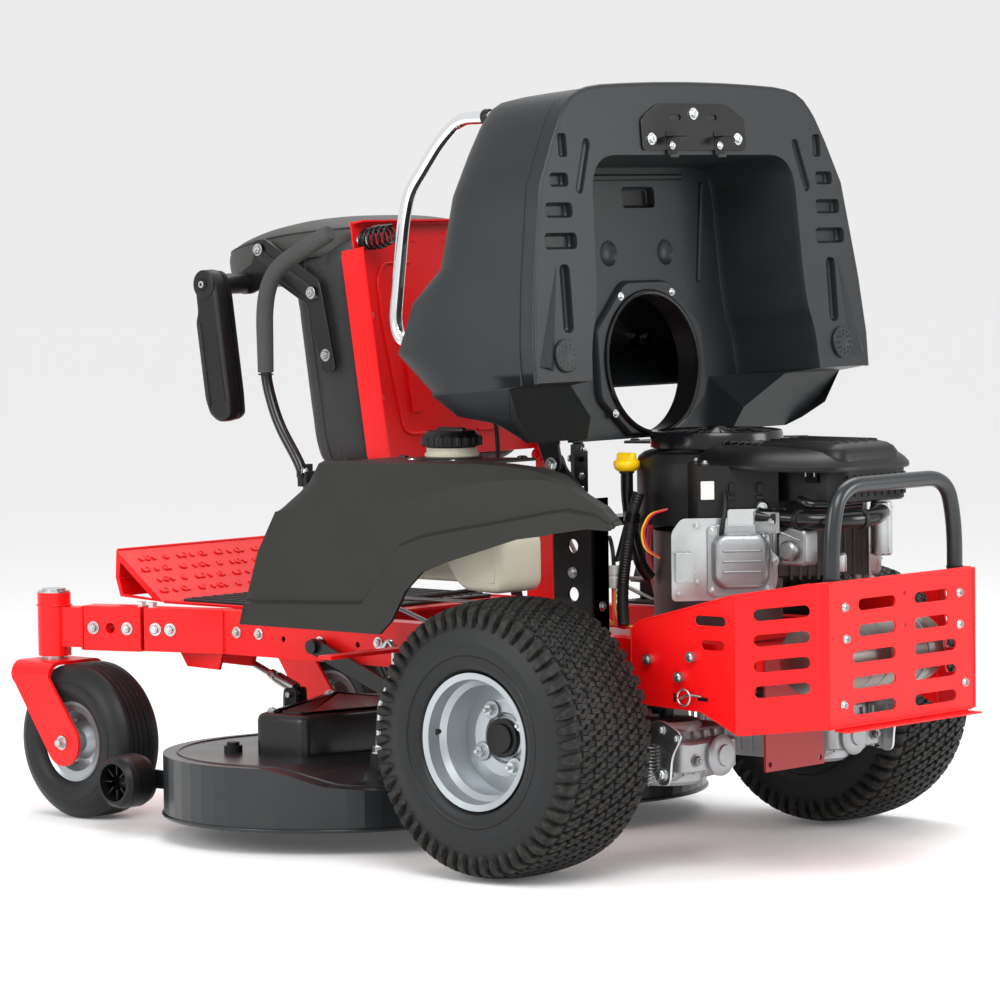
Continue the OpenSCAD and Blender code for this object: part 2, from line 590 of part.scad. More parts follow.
module hood_rails() color([0.8, 0.81, 0.82]) chassis() difference() {
  both() sweep(rounded([[150, 250, 1232], [258, 250, 1231], [304, 250, 1196], [378, 250, 1110],
    [392, 250, 1060], [415, 250, 890], [401, 250, 856], [270, 250, 850]], 18), 11, [0, 1, 0], 14);
  translate([hood_px, 0, hood_pz]) rotate([0, hood_lean, 0]) hood_form(0);
}
// ---- control levers --------------------------------------------------------
module lever_base() color([0.12, 0.12, 0.12]) chassis() difference() {
  union() {
    cyl_y(lever_x, lever_z, 326, 352, 16);
    box(lever_x - 18, lever_x - 10, 326, 364, lever_z + 4, swing_z + 14);
    box(lever_x - 18, lever_x + 10, 326, 352, lever_z + 4, lever_z + 16);
    cyl_x(lever_y, swing_z, lever_x - 26, lever_x + 8, 5, 32);
  }
  cyl_y(lever_x, lever_z, 320, 360, 8 + fit);
}
module lever_base_left() lever_base();
module lever_base_right() mirror([0, 1, 0]) lever_base();
module lever() chassis() {
  color([0.1, 0.1, 0.1]) difference() {
    union() {
      box(lever_x - 9.6, lever_x + 2, lever_y - 10, lever_y + 16, swing_z - 12, swing_z + 26);
      sweep(rounded([[lever_x - 4, 360, swing_z + 14], [590, 360, 720], [616, 360, 790],
        [617, 360, 830]], 20), 9.5, [0, 1, 0], 12);
    }
    cyl_x(lever_y, swing_z, lever_x - 40, lever_x + 30, 5 + fit, 32);
  }
  color([0.3, 0.3, 0.3]) sweep(rounded([[617, 360, 805], [618, 360, 930], [590, 360, 985],
    [458, 360, 1044]], 30, 5), 14.5, [0, 1, 0], 14);
}
module lever_left() lever();
module lever_right() mirror([0, 1, 0]) lever();
// ---- wheels ------------------------------------------------------------------
module caster_fork() chassis() {
  x0 = front_x - 56;
  x1 = front_x + 42;
  color("red") {
    translate([x0, caster_y, 0]) rotate([90, 0, 90]) linear_extrude(x1 - x0) difference() {
      union() {
        translate([-69, 252]) square([138, 6]);
        translate([-69, 256]) square([138, 0.5]);
        translate([-45, 256]) square([90, 24]);
        for (i = [-1, 1]) translate([i * 45, 256]) circle(24, $fn = 48);
      }
      translate([-63, 230]) square([126, 26]);
      translate([-39, 250]) square([78, 24]);
      for (i = [-1, 1]) translate([i * 39, 250]) circle(24, $fn = 48);
    }
    for (s = [-1, 1]) let(y0 = caster_y + (s > 0 ? 63 : -69)) side_plate(y0, y0 + 6) union() {
      polygon([[x0, 252], [x1, 252], [1140.2, 114.7], [1071.8, 163.3]]);
      translate([wheelbase, caster_r]) circle(42, $fn = 48);
    }
  }
  color("silver") {
    cyl_z(front_x, caster_y, 280, 398, 12.95);
    cyl_z(front_x, caster_y, 280, 285.6, 24);
    cyl_y(wheelbase, caster_r, caster_y - 76, caster_y + 76, 6);
    cyl_y(wheelbase, caster_r, caster_y + 69, caster_y + 76, 10, 6);
    cyl_y(wheelbase, caster_r, caster_y - 76, caster_y - 69, 10, 6);
  }
}
module caster_fork_left() caster_fork();
module caster_fork_right() mirror([0, 1, 0]) caster_fork();
module caster_tyre() color([0.2, 0.21, 0.22]) chassis() spin_y(wheelbase, caster_y, caster_r)
  tyre_section(caster_r, 106, 72.5, 58, 44, 0.75, 8);
module caster_tyre_left() caster_tyre();
module caster_tyre_right() mirror([0, 1, 0]) caster_tyre();
module caster_rim() color([0.55, 0.57, 0.58]) chassis() spin_y(wheelbase, caster_y, caster_r) {
  polygon([[6 + fit, -58], [18, -58], [22, -30], [34, -18], [50, -14], [54, -38], [66, -40],
    [71.8, -43], [71.8, -40], [64, -36], [58, -34], [56, -10], [56, 10], [58, 34], [64, 36],
    [71.8, 40], [71.8, 43], [66, 40], [54, 38], [50, 14], [34, 18], [22, 30], [18, 58],
    [6 + fit, 58]]);
}
module caster_rim_left() caster_rim();
module caster_rim_right() mirror([0, 1, 0]) caster_rim();
module rear_tyre() color([0.2, 0.21, 0.22]) chassis() spin_y(0, rear_y, rear_r)
  tyre_section(rear_r, 172, 112, rear_hw, 86, 0.5, 12);
module rear_tyre_left() rear_tyre();
module rear_tyre_right() mirror([0, 1, 0]) rear_tyre();
module rear_rim() chassis() {
  color([0.75, 0.77, 0.79]) spin_y(0, rear_y, rear_r) {
    polygon([[111.5, 93], [111.5, 90], [104.5, 88], [102, 66], [93, 58], [93, -52], [102, -66],
      [104.5, -88], [111.5, -90], [111.5, -93], [101, -91], [98, -68], [89, -56], [89, 6],
      [62, 14], [42, 8], [30, -8], [30, -30], [12.5 + fit, -30], [12.5 + fit, 12.9], [38, 12.9],
      [42, 18], [62, 21], [89, 14], [89, 60], [98, 68], [101, 91]]);
  }
  color("silver") for (i = [0:3]) let(a = 62 + i * 90) {
    cyl_y(51 * cos(a), rear_r + 51 * sin(a), rear_y + 19, rear_y + 33, 9, 6);
  }
  color([0.08, 0.08, 0.08]) cyl_y(0, rear_r, rear_y + 13, rear_y + 26, 32);
}
module rear_rim_left() rear_rim();
module rear_rim_right() mirror([0, 1, 0]) rear_rim();
// ---- cutting deck --------------------------------------------------------------
function deck_outline(t) = let(
    cl = [deck_l[0], deck_l[1]], cr = [deck_r[0], deck_r[1]],
    d = atan2(cr[1] - cl[1], cr[0] - cl[0]),
    tilt = asin((deck_l[2] - deck_r[2]) / norm(cr - cl)))
  concat(arc(cl, deck_l[2] - t, d + 90 - tilt, d + 270 + tilt, 30),
    arc(cr, deck_r[2] - t, d - 90 + tilt, d + 90 - tilt, 30));
// The top falls away behind the spindles
module deck_form(t) intersection() {
  linear_extrude(400) polygon(deck_outline(t));
  side_plate(-560, 560) polygon([[150, -10], [150, 60 - t], [310, 104 - t], [400, 118 - t],
    [450, 138 - t], [490, deck_z1 - t], [1000, deck_z1 - t], [1000, -10]]);
}
module spindle(c) difference() {
  union() {
    cyl_z(c[0], c[1], deck_z1, 166, 42, 56);
    cyl_z(c[0], c[1], deck_z1, 151, 64, 8);
  }
  cyl_z(c[0], c[1], 100, 200, 12.5 + 2 * fit);
}
module deck_shell() color([0.19, 0.21, 0.22]) chassis() {
  difference() {
    intersection() {
      deck_form(0);
      box(0, 1000, -600, 600, deck_z0, 300);
    }
    deck_form(deck_t);
    for (c = [deck_l, deck_r]) cyl_z(c[0], c[1], 100, 200, 12.5 + 2 * fit);
    box(430, 630, -560, -430, 30, 134);
  }
  spindle(deck_l);
  spindle(deck_r);
  // hinge lugs and rod of the chute, and the lugs for the hanging rods
  difference() {
    union() {
      box(412, 418, -512, -470, 116, 168);
      box(646, 652, -512, -440, 140, 168);
      both() box(425, 445, 270, 296, 116, 156);
    }
    deck_form(deck_t);
  }
  cyl_x(-504, 160, 412, 652, 5, 32);
  // brackets of the anti-scalp wheels
  scalp_bracket(scalp_l, deck_l, 1);
  for_side(-1) scalp_bracket([scalp_r[0], -scalp_r[1], scalp_r[2]], deck_r, 1);
}
module scalp_bracket(w, d, s) {
  difference() {
    box(w[0] - 70, w[0] + 16, w[1] - 52, w[1] - 44, w[2] - 16, w[2] + 16);
    linear_extrude(300) polygon(arc([d[0], abs(d[1])], d[2] - 1, -90, 90, 40));
  }
  cyl_y(w[0], w[2], w[1] - 44, w[1] + 6, 6);
}
module belt_covers() color([0.08, 0.08, 0.08]) chassis() {
  for (c = [[[655, 362], [548, 350], [478, 20], [700, -10], [800, 40]],
      [[600, -352], [530, -352], [462, -300], [432, -240], [430, -30], [640, -40], [700, -120]]])
    translate([0, 0, deck_z1 + 0.01]) difference() {
      linear_extrude(69) polygon(c);
      translate([0, 0, -1]) linear_extrude(67) offset(delta = -3) polygon(c);
    }
}
module deck_fittings() color("silver") chassis() {
  both() {
    // J rods that hang the deck
    sweep(rounded([[423, 283, 336], [410, 283, 352], [398, 283, 340], [398, 283, 300],
      [432, 283, 240], [440, 283, 157]], 8, 3), 5, [0, 1, 0], 10);
    translate([440, 283, 157]) cylinder(r = 9, h = 14, $fn = 6);
  }
  // front link rod and its clevis
  sweep([[912, 138, 283], [790, 138, 238]], 6, [0, 1, 0], 10);
  sweep([[822, 138, 249.8], [778, 138, 233.6]], 11, [0, 1, 0], 8);
  box(766, 790, 124, 152, deck_z1 + 0.01, 236);
  // wash-out port
  cyl_z(700, 372, deck_z1, 166, 10, 32);
  cyl_z(700, 372, 152, 158, 16, 6);
}
module chute() color([0.07, 0.07, 0.07]) chassis() {
  difference() {
    union() {
      cyl_x(-504, 160, 424, 640, 9, 32);
      box(424, 640, -522, -504, 165, 169);
      side_x([[-518, 169], [-524, 166], [-545, 70], [-541, 69], [-520, 163]], 424, 640);
    }
    cyl_x(-504, 160, 400, 660, 5 + fit, 32);
  }
}
module side_x(p, x0, x1) translate([x0, 0, 0]) rotate([90, 0, 90]) linear_extrude(x1 - x0) polygon(p);
module blade(c, a) color([0.45, 0.45, 0.46]) chassis() translate([c[0], c[1], 0]) {
  translate([0, 0, 74]) rotate([0, 0, a]) {
    translate([-blade_r, -30, 0]) cube([2 * blade_r, 60, 5]);
    for (s = [0, 180]) rotate([0, 0, s]) translate([150, 10, 5]) cube([60, 20, 12]);
  }
  translate([0, 0, 66]) cylinder(r = 12.5, h = 134, $fn = 48);
  translate([0, 0, 79]) cylinder(r = 30, h = 50, $fn = 48);
  translate([0, 0, 180]) rotate_extrude($fn = 64)
    polygon([[0, 0], [60, 0], [60, 3], [50, 10], [60, 17], [60, 20], [0, 20]]);
}
module blade_left() blade(deck_l, 20);
module blade_right() blade(deck_r, 75);
module scalp_wheel(w) color([0.08, 0.08, 0.08]) chassis() difference() {
  union() {
    spin_y(w[0], w[1], w[2]) polygon([[6 + fit, -36], [34, -36], [42, -30], [47, -16], [47, 16],
      [44, 28], [38, 36], [33, 36], [33, 2], [14, 2], [14, 8], [6 + fit, 8]]);
    for (i = [0:7]) translate([w[0], w[1], w[2]]) rotate([0, i * 45, 0])
      translate([13, 1, -1.2]) cube([21, 26, 2.4]);
  }
}
module scalp_wheel_left() scalp_wheel(scalp_l);
module scalp_wheel_right() mirror([0, 1, 0]) scalp_wheel([scalp_r[0], -scalp_r[1], scalp_r[2]]);
module lift_arms() color([0.2, 0.2, 0.2]) chassis() {
  cyl_y(shaft_x, shaft_z, -284, 276, 12);
  for (s = [-1, 1]) let(y0 = s > 0 ? 262 : -268) side_plate(y0, y0 + 6)
    bar2([shaft_x, shaft_z], [435, 266], 28);
  side_plate(-282, -276) bar2([shaft_x, shaft_z], [690, 590], 22);
  translate([690, -279, 590]) sphere(20, $fn = 32);
}

main_frame();
front_axle_arms();
foot_plate();
fenders();
fuel_tank();
fuel_cap();
electrics();
hood_support();
rear_guard();
bumper_hoop();
fasteners();
engine_block();
rocker_covers();
blower_housing();
air_cleaner();
engine_pipes();
muffler();
dipstick();
engine_screen();
crankshaft();
transaxles();
drive_belt();
seat_pan();
seat_springs();
seat_switch();
seat_cushion();
seat_back();
seat_brackets();
seat_lead();
armrest_left();
armrest_right();
hood_shell();
hood_fittings();
hood_rails();
lever_base_left();
lever_base_right();
lever_left();
lever_right();
caster_fork_left();
caster_fork_right();
caster_tyre_left();
caster_tyre_right();
caster_rim_left();
caster_rim_right();
rear_tyre_left();
rear_tyre_right();
rear_rim_left();
rear_rim_right();
deck_shell();
belt_covers();
deck_fittings();
chute();
blade_left();
blade_right();
scalp_wheel_left();
scalp_wheel_right();
lift_arms();
ignition_key();
pto_knob();
throttle_lever();
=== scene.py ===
import math

import bmesh
import bpy
import numpy as np
from mathutils import Matrix, Vector
from mathutils.geometry import tessellate_polygon


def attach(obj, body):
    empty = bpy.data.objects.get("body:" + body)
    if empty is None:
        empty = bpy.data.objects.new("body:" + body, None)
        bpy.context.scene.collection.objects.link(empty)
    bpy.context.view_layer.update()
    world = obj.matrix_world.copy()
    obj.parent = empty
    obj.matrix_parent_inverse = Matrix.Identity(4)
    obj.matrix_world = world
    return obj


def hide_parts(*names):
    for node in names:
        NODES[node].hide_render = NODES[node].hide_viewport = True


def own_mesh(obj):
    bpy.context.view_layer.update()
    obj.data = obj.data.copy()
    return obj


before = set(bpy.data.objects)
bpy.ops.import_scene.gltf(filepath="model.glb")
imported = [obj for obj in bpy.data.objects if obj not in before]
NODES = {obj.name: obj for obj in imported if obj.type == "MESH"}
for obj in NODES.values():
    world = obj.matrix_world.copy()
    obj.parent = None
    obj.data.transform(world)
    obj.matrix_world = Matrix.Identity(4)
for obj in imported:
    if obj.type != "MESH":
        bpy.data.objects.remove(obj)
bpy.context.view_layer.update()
AXLE_X = -376.0  # the rear axle's place in the row frame, mm
# the wheels: side place and radius of the rear ones, axle, swivel, side place and radius of the casters
REAR_Y, REAR_R, TREAD_HALF = 427, 228, 103
CASTER_X, PIVOT_X, CASTER_Y, CASTER_R = 1106, 1196, 332, 139
# the front beam's bend, and the parts on the fenders' shelves, in plan
BEND_AT, CAP_AT, KEY_AT, KNOB_AT, THROTTLE_AT = (850, 226), (200, 345), (330, 400), (272, 400), (222, 346)
# each spindle of the deck, with the deck's radius round it
SPINDLES = ((595, 240, 290), (505, -228, 285))


# ---- points ------------------------------------------------------------------
def at(x, y, z):
    """A point measured in mm from the rear axle, in the row frame."""
    return Vector(((x + AXLE_X) / 1000, y / 1000, z / 1000))


def turned(points, origin, angle):
    """Local X-Z points (mm) turned about Y at an origin (mm)."""
    c, s = math.cos(math.radians(angle)), math.sin(math.radians(angle))
    ox, oz = origin
    return [(ox + x * c + z * s, y, oz - x * s + z * c) for x, y, z in points]


def angles(n):
    """n even steps round a circle."""
    return [k * math.tau / n for k in range(n)]


def span(a, b):
    """Two places in rising order."""
    return min(a, b), max(a, b)


def flat(x, y, d):
    """A plan-view outline at height d."""
    return x, y, d


def side_view(s):
    """A side-view outline at a distance d from the middle, on side s."""
    return lambda x, z, d: (x, s * d, z)


def smooth(a, b, v):
    t = np.clip((v - a) / (b - a), 0, 1)
    return t * t * (3 - 2 * t)


def bent(points, d, n=5):
    """A polyline whose corners are rounded off over a length d."""
    pts = [Vector(p) for p in points]
    out = [pts[0]]
    for a, p, b in zip(pts, pts[1:], pts[2:]):
        s = p + (a - p).normalized() * min(d, (a - p).length * 0.49)
        e = p + (b - p).normalized() * min(d, (b - p).length * 0.49)
        out += [(1 - t) ** 2 * s + 2 * t * (1 - t) * p + t * t * e for t in [k / n for k in range(n + 1)]]
    return out + [pts[-1]]


# ---- materials -----------------------------------------------------------------
def material(name, color, rough, metal=0.0, coat=0.0, grain=(300, 0.02), mottle=0.08, spec=0.5,
             rough_vary=0.08, dust=None, brushed=None):
    """A principled surface whose colour, roughness and bump vary with noise in object space."""
    m = bpy.data.materials.new(name)
    m.use_nodes = True
    nt = m.node_tree
    p = nt.nodes["Principled BSDF"]
    p.inputs["Metallic"].default_value = metal
    p.inputs["Coat Weight"].default_value = coat
    p.inputs["Coat Roughness"].default_value = 0.12
    p.inputs["Specular IOR Level"].default_value = spec
    co = nt.nodes.new("ShaderNodeTexCoord")
    big = nt.nodes.new("ShaderNodeTexNoise")
    big.inputs["Scale"].default_value = 9
    big.inputs["Detail"].default_value = 5
    ramp = nt.nodes.new("ShaderNodeValToRGB")
    lo, hi = 1 - mottle, 1 + mottle
    ramp.color_ramp.elements[0].color = (*[c * lo for c in color], 1)
    ramp.color_ramp.elements[1].color = (*[min(1, c * hi) for c in color], 1)
    ramp.color_ramp.elements[0].position = 0.3
    ramp.color_ramp.elements[1].position = 0.7
    nt.links.new(co.outputs["Object"], big.inputs["Vector"])
    nt.links.new(big.outputs["Fac"], ramp.inputs["Fac"])
    shade = ramp.outputs["Color"]
    if dust:
        shade = dusted(nt, co, shade, *dust)
    nt.links.new(shade, p.inputs["Base Color"])
    fine = nt.nodes.new("ShaderNodeTexNoise")
    fine.inputs["Scale"].default_value = grain[0]
    fine.inputs["Detail"].default_value = 4
    source = co.outputs["Object"]
    if brushed:
        mapping = nt.nodes.new("ShaderNodeMapping")
        mapping.inputs["Scale"].default_value = brushed
        nt.links.new(source, mapping.inputs["Vector"])
        source = mapping.outputs["Vector"]
    nt.links.new(source, fine.inputs["Vector"])
    vary = nt.nodes.new("ShaderNodeMapRange")
    vary.inputs["To Min"].default_value = max(0.02, rough - rough_vary)
    vary.inputs["To Max"].default_value = min(1, rough + rough_vary)
    nt.links.new(big.outputs["Fac"], vary.inputs["Value"])
    nt.links.new(vary.outputs["Result"], p.inputs["Roughness"])
    bump = nt.nodes.new("ShaderNodeBump")
    bump.inputs["Strength"].default_value = grain[1]
    bump.inputs["Distance"].default_value = 0.001
    nt.links.new(fine.outputs["Fac"], bump.inputs["Height"])
    nt.links.new(bump.outputs["Normal"], p.inputs["Normal"])
    return m


def dusted(nt, co, shade, tint, scale, low, high):
    """Dirt in patches: tint shows where a noise is above low."""
    n = nt.nodes.new("ShaderNodeTexNoise")
    n.inputs["Scale"].default_value = scale
    n.inputs["Detail"].default_value = 6
    r = nt.nodes.new("ShaderNodeMapRange")
    r.inputs["From Min"].default_value = low
    r.inputs["From Max"].default_value = high
    mix = nt.nodes.new("ShaderNodeMix")
    mix.data_type = "RGBA"
    mix.inputs["B"].default_value = (*tint, 1)
    nt.links.new(co.outputs["Object"], n.inputs["Vector"])
    nt.links.new(n.outputs["Fac"], r.inputs["Value"])
    nt.links.new(r.outputs["Result"], mix.inputs["Factor"])
    nt.links.new(shade, mix.inputs["A"])
    return mix.outputs["Result"]


def leather(name, color, rough, cell, strength):
    """Vinyl with a pebbled grain."""
    m = material(name, color, rough, grain=(900, 0.0), mottle=0.10)
    nt = m.node_tree
    p = nt.nodes["Principled BSDF"]
    co = next(n for n in nt.nodes if n.type == "TEX_COORD")
    v = nt.nodes.new("ShaderNodeTexVoronoi")
    v.feature = "DISTANCE_TO_EDGE"
    v.inputs["Scale"].default_value = cell
    r = nt.nodes.new("ShaderNodeMapRange")
    r.inputs["From Max"].default_value = 0.25
    b = nt.nodes.new("ShaderNodeBump")
    b.inputs["Strength"].default_value = strength
    b.inputs["Distance"].default_value = 0.0006
    nt.links.new(co.outputs["Object"], v.inputs["Vector"])
    nt.links.new(v.outputs["Distance"], r.inputs["Value"])
    nt.links.new(r.outputs["Result"], b.inputs["Height"])
    nt.links.new(b.outputs["Normal"], p.inputs["Normal"])
    return m


RED = material("red_powder_coat", (0.78, 0.003, 0.004), 0.36, coat=0.08, grain=(420, 0.06), mottle=0.04,
               spec=0.3)
# a darker, duller red for painted shade on the frame's middle behind the axle
PAINTED_SHADE_RED = material("red_painted_shade", (0.30, 0.012, 0.014), 0.50, coat=0.1, grain=(300, 0.1), mottle=0.12)
BLACK = material("black_enamel", (0.007, 0.007, 0.008), 0.30, coat=0.08, grain=(350, 0.05), mottle=0.2,
                 spec=0.35)
DECK = material("deck_enamel", (0.011, 0.014, 0.016), 0.30, coat=0.12, grain=(260, 0.12), mottle=0.2,
                spec=0.4, dust=((0.03, 0.03, 0.028), 14, 0.62, 0.95))
HOOP = material("hoop_enamel", (0.012, 0.015, 0.017), 0.30, coat=0.15, grain=(500, 0.04), mottle=0.1,
                spec=0.45)
HOOD = material("hood_plastic", (0.012, 0.0145, 0.016), 0.42, grain=(1400, 0.16), mottle=0.10, spec=0.32)
FENDER = material("fender_plastic", (0.013, 0.013, 0.0115), 0.46, grain=(1100, 0.28), mottle=0.10, spec=0.28)
PLASTIC = material("black_plastic", (0.006, 0.006, 0.0065), 0.40, grain=(900, 0.18), mottle=0.15, spec=0.3)
GLOSSY = material("gloss_plastic", (0.005, 0.005, 0.006), 0.20, grain=(700, 0.05), mottle=0.15, spec=0.4)
TANK = material("tank_plastic", (0.56, 0.53, 0.42), 0.42, grain=(500, 0.12), mottle=0.05)
YELLOW = material("yellow_plastic", (1.0, 0.62, 0.001), 0.34, grain=(600, 0.08), mottle=0.05)
TYRE = material("tyre_rubber", (0.009, 0.010, 0.011), 0.46, grain=(520, 0.22), mottle=0.16, spec=0.3)
TREAD = material("tread_rubber", (0.010, 0.0105, 0.0105), 0.62, grain=(380, 0.3), mottle=0.2, spec=0.22,
                 dust=((0.040, 0.036, 0.029), 90, 0.42, 0.80))
RIM = material("silver_paint", (0.40, 0.43, 0.45), 0.34, metal=0.7, coat=0.2, grain=(1500, 0.06), mottle=0.05)
ZINC = material("zinc_plate", (0.55, 0.57, 0.57), 0.28, metal=0.97, grain=(260, 0.12), mottle=0.22)
CHROME = material("polished_chrome", (0.86, 0.87, 0.88), 0.06, metal=1.0, grain=(40, 0.02), mottle=0.02,
                  rough_vary=0.03)
ALU = material("cast_aluminium", (0.36, 0.37, 0.38), 0.40, metal=0.9, grain=(420, 0.45), mottle=0.2)
STEEL = material("bare_steel", (0.26, 0.26, 0.26), 0.36, metal=0.95, grain=(200, 0.25), mottle=0.2,
                 dust=((0.10, 0.05, 0.03), 30, 0.62, 0.9))
CASTING = material("engine_casting", (0.13, 0.125, 0.12), 0.48, metal=0.85, grain=(260, 0.5), mottle=0.3)
MUFFLER = material("muffler_steel", (0.26, 0.24, 0.22), 0.42, metal=0.9, grain=(160, 0.3), mottle=0.25)
VINYL = leather("seat_vinyl", (0.012, 0.0125, 0.0135), 0.50, 620, 0.5)
VINYL_BACK = leather("seat_vinyl_back", (0.034, 0.035, 0.031), 0.50, 620, 0.5)
RUBBER = material("black_rubber", (0.008, 0.008, 0.008), 0.5, grain=(500, 0.15), mottle=0.2, spec=0.35)
FOAM = material("foam_grip", (0.058, 0.060, 0.058), 0.86, grain=(900, 0.5), mottle=0.12, spec=0.2)
WHITE = material("white_plastic", (0.72, 0.72, 0.68), 0.4, grain=(500, 0.1), mottle=0.08)
WIRE_Y = material("wire_yellow", (0.8, 0.5, 0.01), 0.4, grain=(500, 0.1))
WIRE_R = material("wire_red", (0.6, 0.01, 0.04), 0.4, grain=(500, 0.1))
WIRE_O = material("wire_orange", (0.75, 0.2, 0.01), 0.4, grain=(500, 0.1))


def finish_node(node, mat, bevel=0.0):
    """A CAD node kept as it is: its material, and a small bevel that catches the light."""
    o = NODES[node]
    o.data.materials.clear()
    o.data.materials.append(mat)
    for p in o.data.polygons:
        p.material_index = 0
    if bevel:
        soften(o, bevel)


def soften(o, width, segments=2, angle=35):
    """A small bevel on the sharp edges."""
    b = o.modifiers.new("edges", "BEVEL")
    b.width = width / 1000
    b.segments = segments
    b.limit_method = "ANGLE"
    b.angle_limit = math.radians(angle)
    b.harden_normals = True
    b.use_clamp_overlap = True


# ---- building pieces -----------------------------------------------------------
class Piece:
    """Collects mesh parts, in mm from the rear axle, and makes one object of them."""

    def __init__(self):
        self.v, self.f, self.m, self.mats = [], [], [], []

    def slot(self, mat):
        if mat not in self.mats:
            self.mats.append(mat)
        return self.mats.index(mat)

    def add(self, verts, faces, mat):
        base, k = len(self.v), self.slot(mat)
        self.v += [tuple(p) for p in verts]
        self.f += [tuple(base + i for i in f) for f in faces]
        self.m += [k] * len(faces)

    def grid(self, rows, mat, closed=False, caps=False, flip=False):
        n = len(rows[0])
        verts = [p for r in rows for p in r]
        faces = []
        for i in range(len(rows) - 1):
            for k in range(n if closed else n - 1):
                q = (i * n + k, i * n + (k + 1) % n, (i + 1) * n + (k + 1) % n, (i + 1) * n + k)
                faces.append(q[::-1] if flip else q)
        if caps:
            a, b = tuple(range(n)), tuple((len(rows) - 1) * n + k for k in range(n))
            faces += [a if flip else a[::-1], b[::-1] if flip else b]
        self.add(verts, faces, mat)

    def tube(self, points, r, mat, n=16, caps=True):
        pts = [Vector(p) for p in points]
        radii = r if isinstance(r, (list, tuple)) else [r] * len(pts)
        t = [(pts[min(i + 1, len(pts) - 1)] - pts[max(i - 1, 0)]).normalized() for i in range(len(pts))]
        side = t[0].orthogonal().normalized()
        rows = []
        for i, p in enumerate(pts):
            side = (side - t[i] * side.dot(t[i])).normalized()
            up = t[i].cross(side)
            rows.append([p + radii[i] * (math.cos(a) * side + math.sin(a) * up) for a in angles(n)])
        self.grid(rows, mat, closed=True, caps=caps)

    def lathe(self, profile, centre, axis, mat, n=48):
        """profile is (radius, place along the axis) pairs."""
        c, w = Vector(centre), Vector(axis).normalized()
        u = w.orthogonal().normalized()
        v = w.cross(u)
        rows = [[c + w * h + r * (math.cos(a) * u + math.sin(a) * v) for a in angles(n)] for r, h in profile]
        self.grid(rows, mat, closed=True, caps=True)

    def prism(self, outline, plane, a, b, mat, place=None):
        """An outline in a plane ("xz", "yz" or "xy") extruded from a to b along the third axis."""
        def point(p, q, d):
            v = {"xz": (p, d, q), "yz": (d, p, q), "xy": (p, q, d)}[plane]
            return place @ Vector(v) if place else Vector(v)
        n = len(outline)
        verts = [point(p, q, a) for p, q in outline] + [point(p, q, b) for p, q in outline]
        faces = [tuple(range(n))[::-1], tuple(range(n, 2 * n))]
        faces += [(i, (i + 1) % n, n + (i + 1) % n, n + i) for i in range(n)]
        self.add(verts, faces, mat)

    def box(self, x0, x1, y0, y1, z0, z1, mat, place=None):
        self.prism([(x0, y0), (x1, y0), (x1, y1), (x0, y1)], "xy", z0, z1, mat, place)

    def bolt(self, centre, axis, r, mat=ZINC, h=None):
        """A hexagon head on a washer, with a chamfered top."""
        h = h or r * 0.9
        self.lathe([(0, 0), (r * 1.35, 0), (r * 1.35, r * 0.22), (0, r * 0.22)], centre, axis, mat, 24)
        self.lathe([(0, r * 0.22), (r, r * 0.22), (r, h * 0.8), (r * 0.86, h), (0, h)], centre, axis, mat, 6)
        self.lathe([(0, h), (r * 0.5, h), (r * 0.46, h * 1.25), (0, h * 1.25)], centre, axis, mat, 16)

    def make(self, name, body, slot=None, replaces=(), bevel=0.0, sub=0, solid=0.0, angle=32, merge=True):
        me = bpy.data.meshes.new(name)
        me.from_pydata([at(*p) for p in self.v], [], self.f)
        for m in self.mats:
            me.materials.append(m)
        me.polygons.foreach_set("material_index", self.m)
        bm = bmesh.new()
        bm.from_mesh(me)
        if merge:
            bmesh.ops.remove_doubles(bm, verts=bm.verts, dist=0.00002)
        bmesh.ops.dissolve_degenerate(bm, dist=0.00001, edges=bm.edges)
        bmesh.ops.recalc_face_normals(bm, faces=bm.faces)
        bm.to_mesh(me)
        bm.free()
        me.polygons.foreach_set("use_smooth", [True] * len(me.polygons))
        me.set_sharp_from_angle(angle=math.radians(angle))
        o = bpy.data.objects.new(name, me)
        bpy.context.scene.collection.objects.link(o)
        if solid:
            s = o.modifiers.new("wall", "SOLIDIFY")
            s.thickness = solid / 1000
            s.offset = -1
        if bevel:
            soften(o, bevel)
        if sub:
            o.modifiers.new("round", "SUBSURF").levels = sub
            o.modifiers["round"].render_levels = sub
        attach(o, body)
        if replaces:
            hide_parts(*replaces)
        return o


SIDES = (1, -1)
SIDE_NAME = {1: "left", -1: "right"}


# ---- tyres ---------------------------------------------------------------------
def spow(v, e):
    """A power that keeps the sign."""
    return math.copysign(abs(v) ** e, v)


def tyre_ring(piece, centre, sections, n=120):
    """sections: (radius, width place, material of the band that starts there)."""
    x, y, z = centre
    for (r0, w0, mat), (r1, w1, _) in zip(sections, sections[1:]):
        rows = [[(x + r * math.cos(a), y + w, z + r * math.sin(a)) for a in angles(n)]
                for r, w in ((r0, w0), (r1, w1))]
        piece.grid(rows, mat, closed=True)


def tread_radius(w, hw):
    """The crown of the rear tyre: radius at a place w across it."""
    return 221.5 - 13.0 * abs(w / hw) ** 2.6


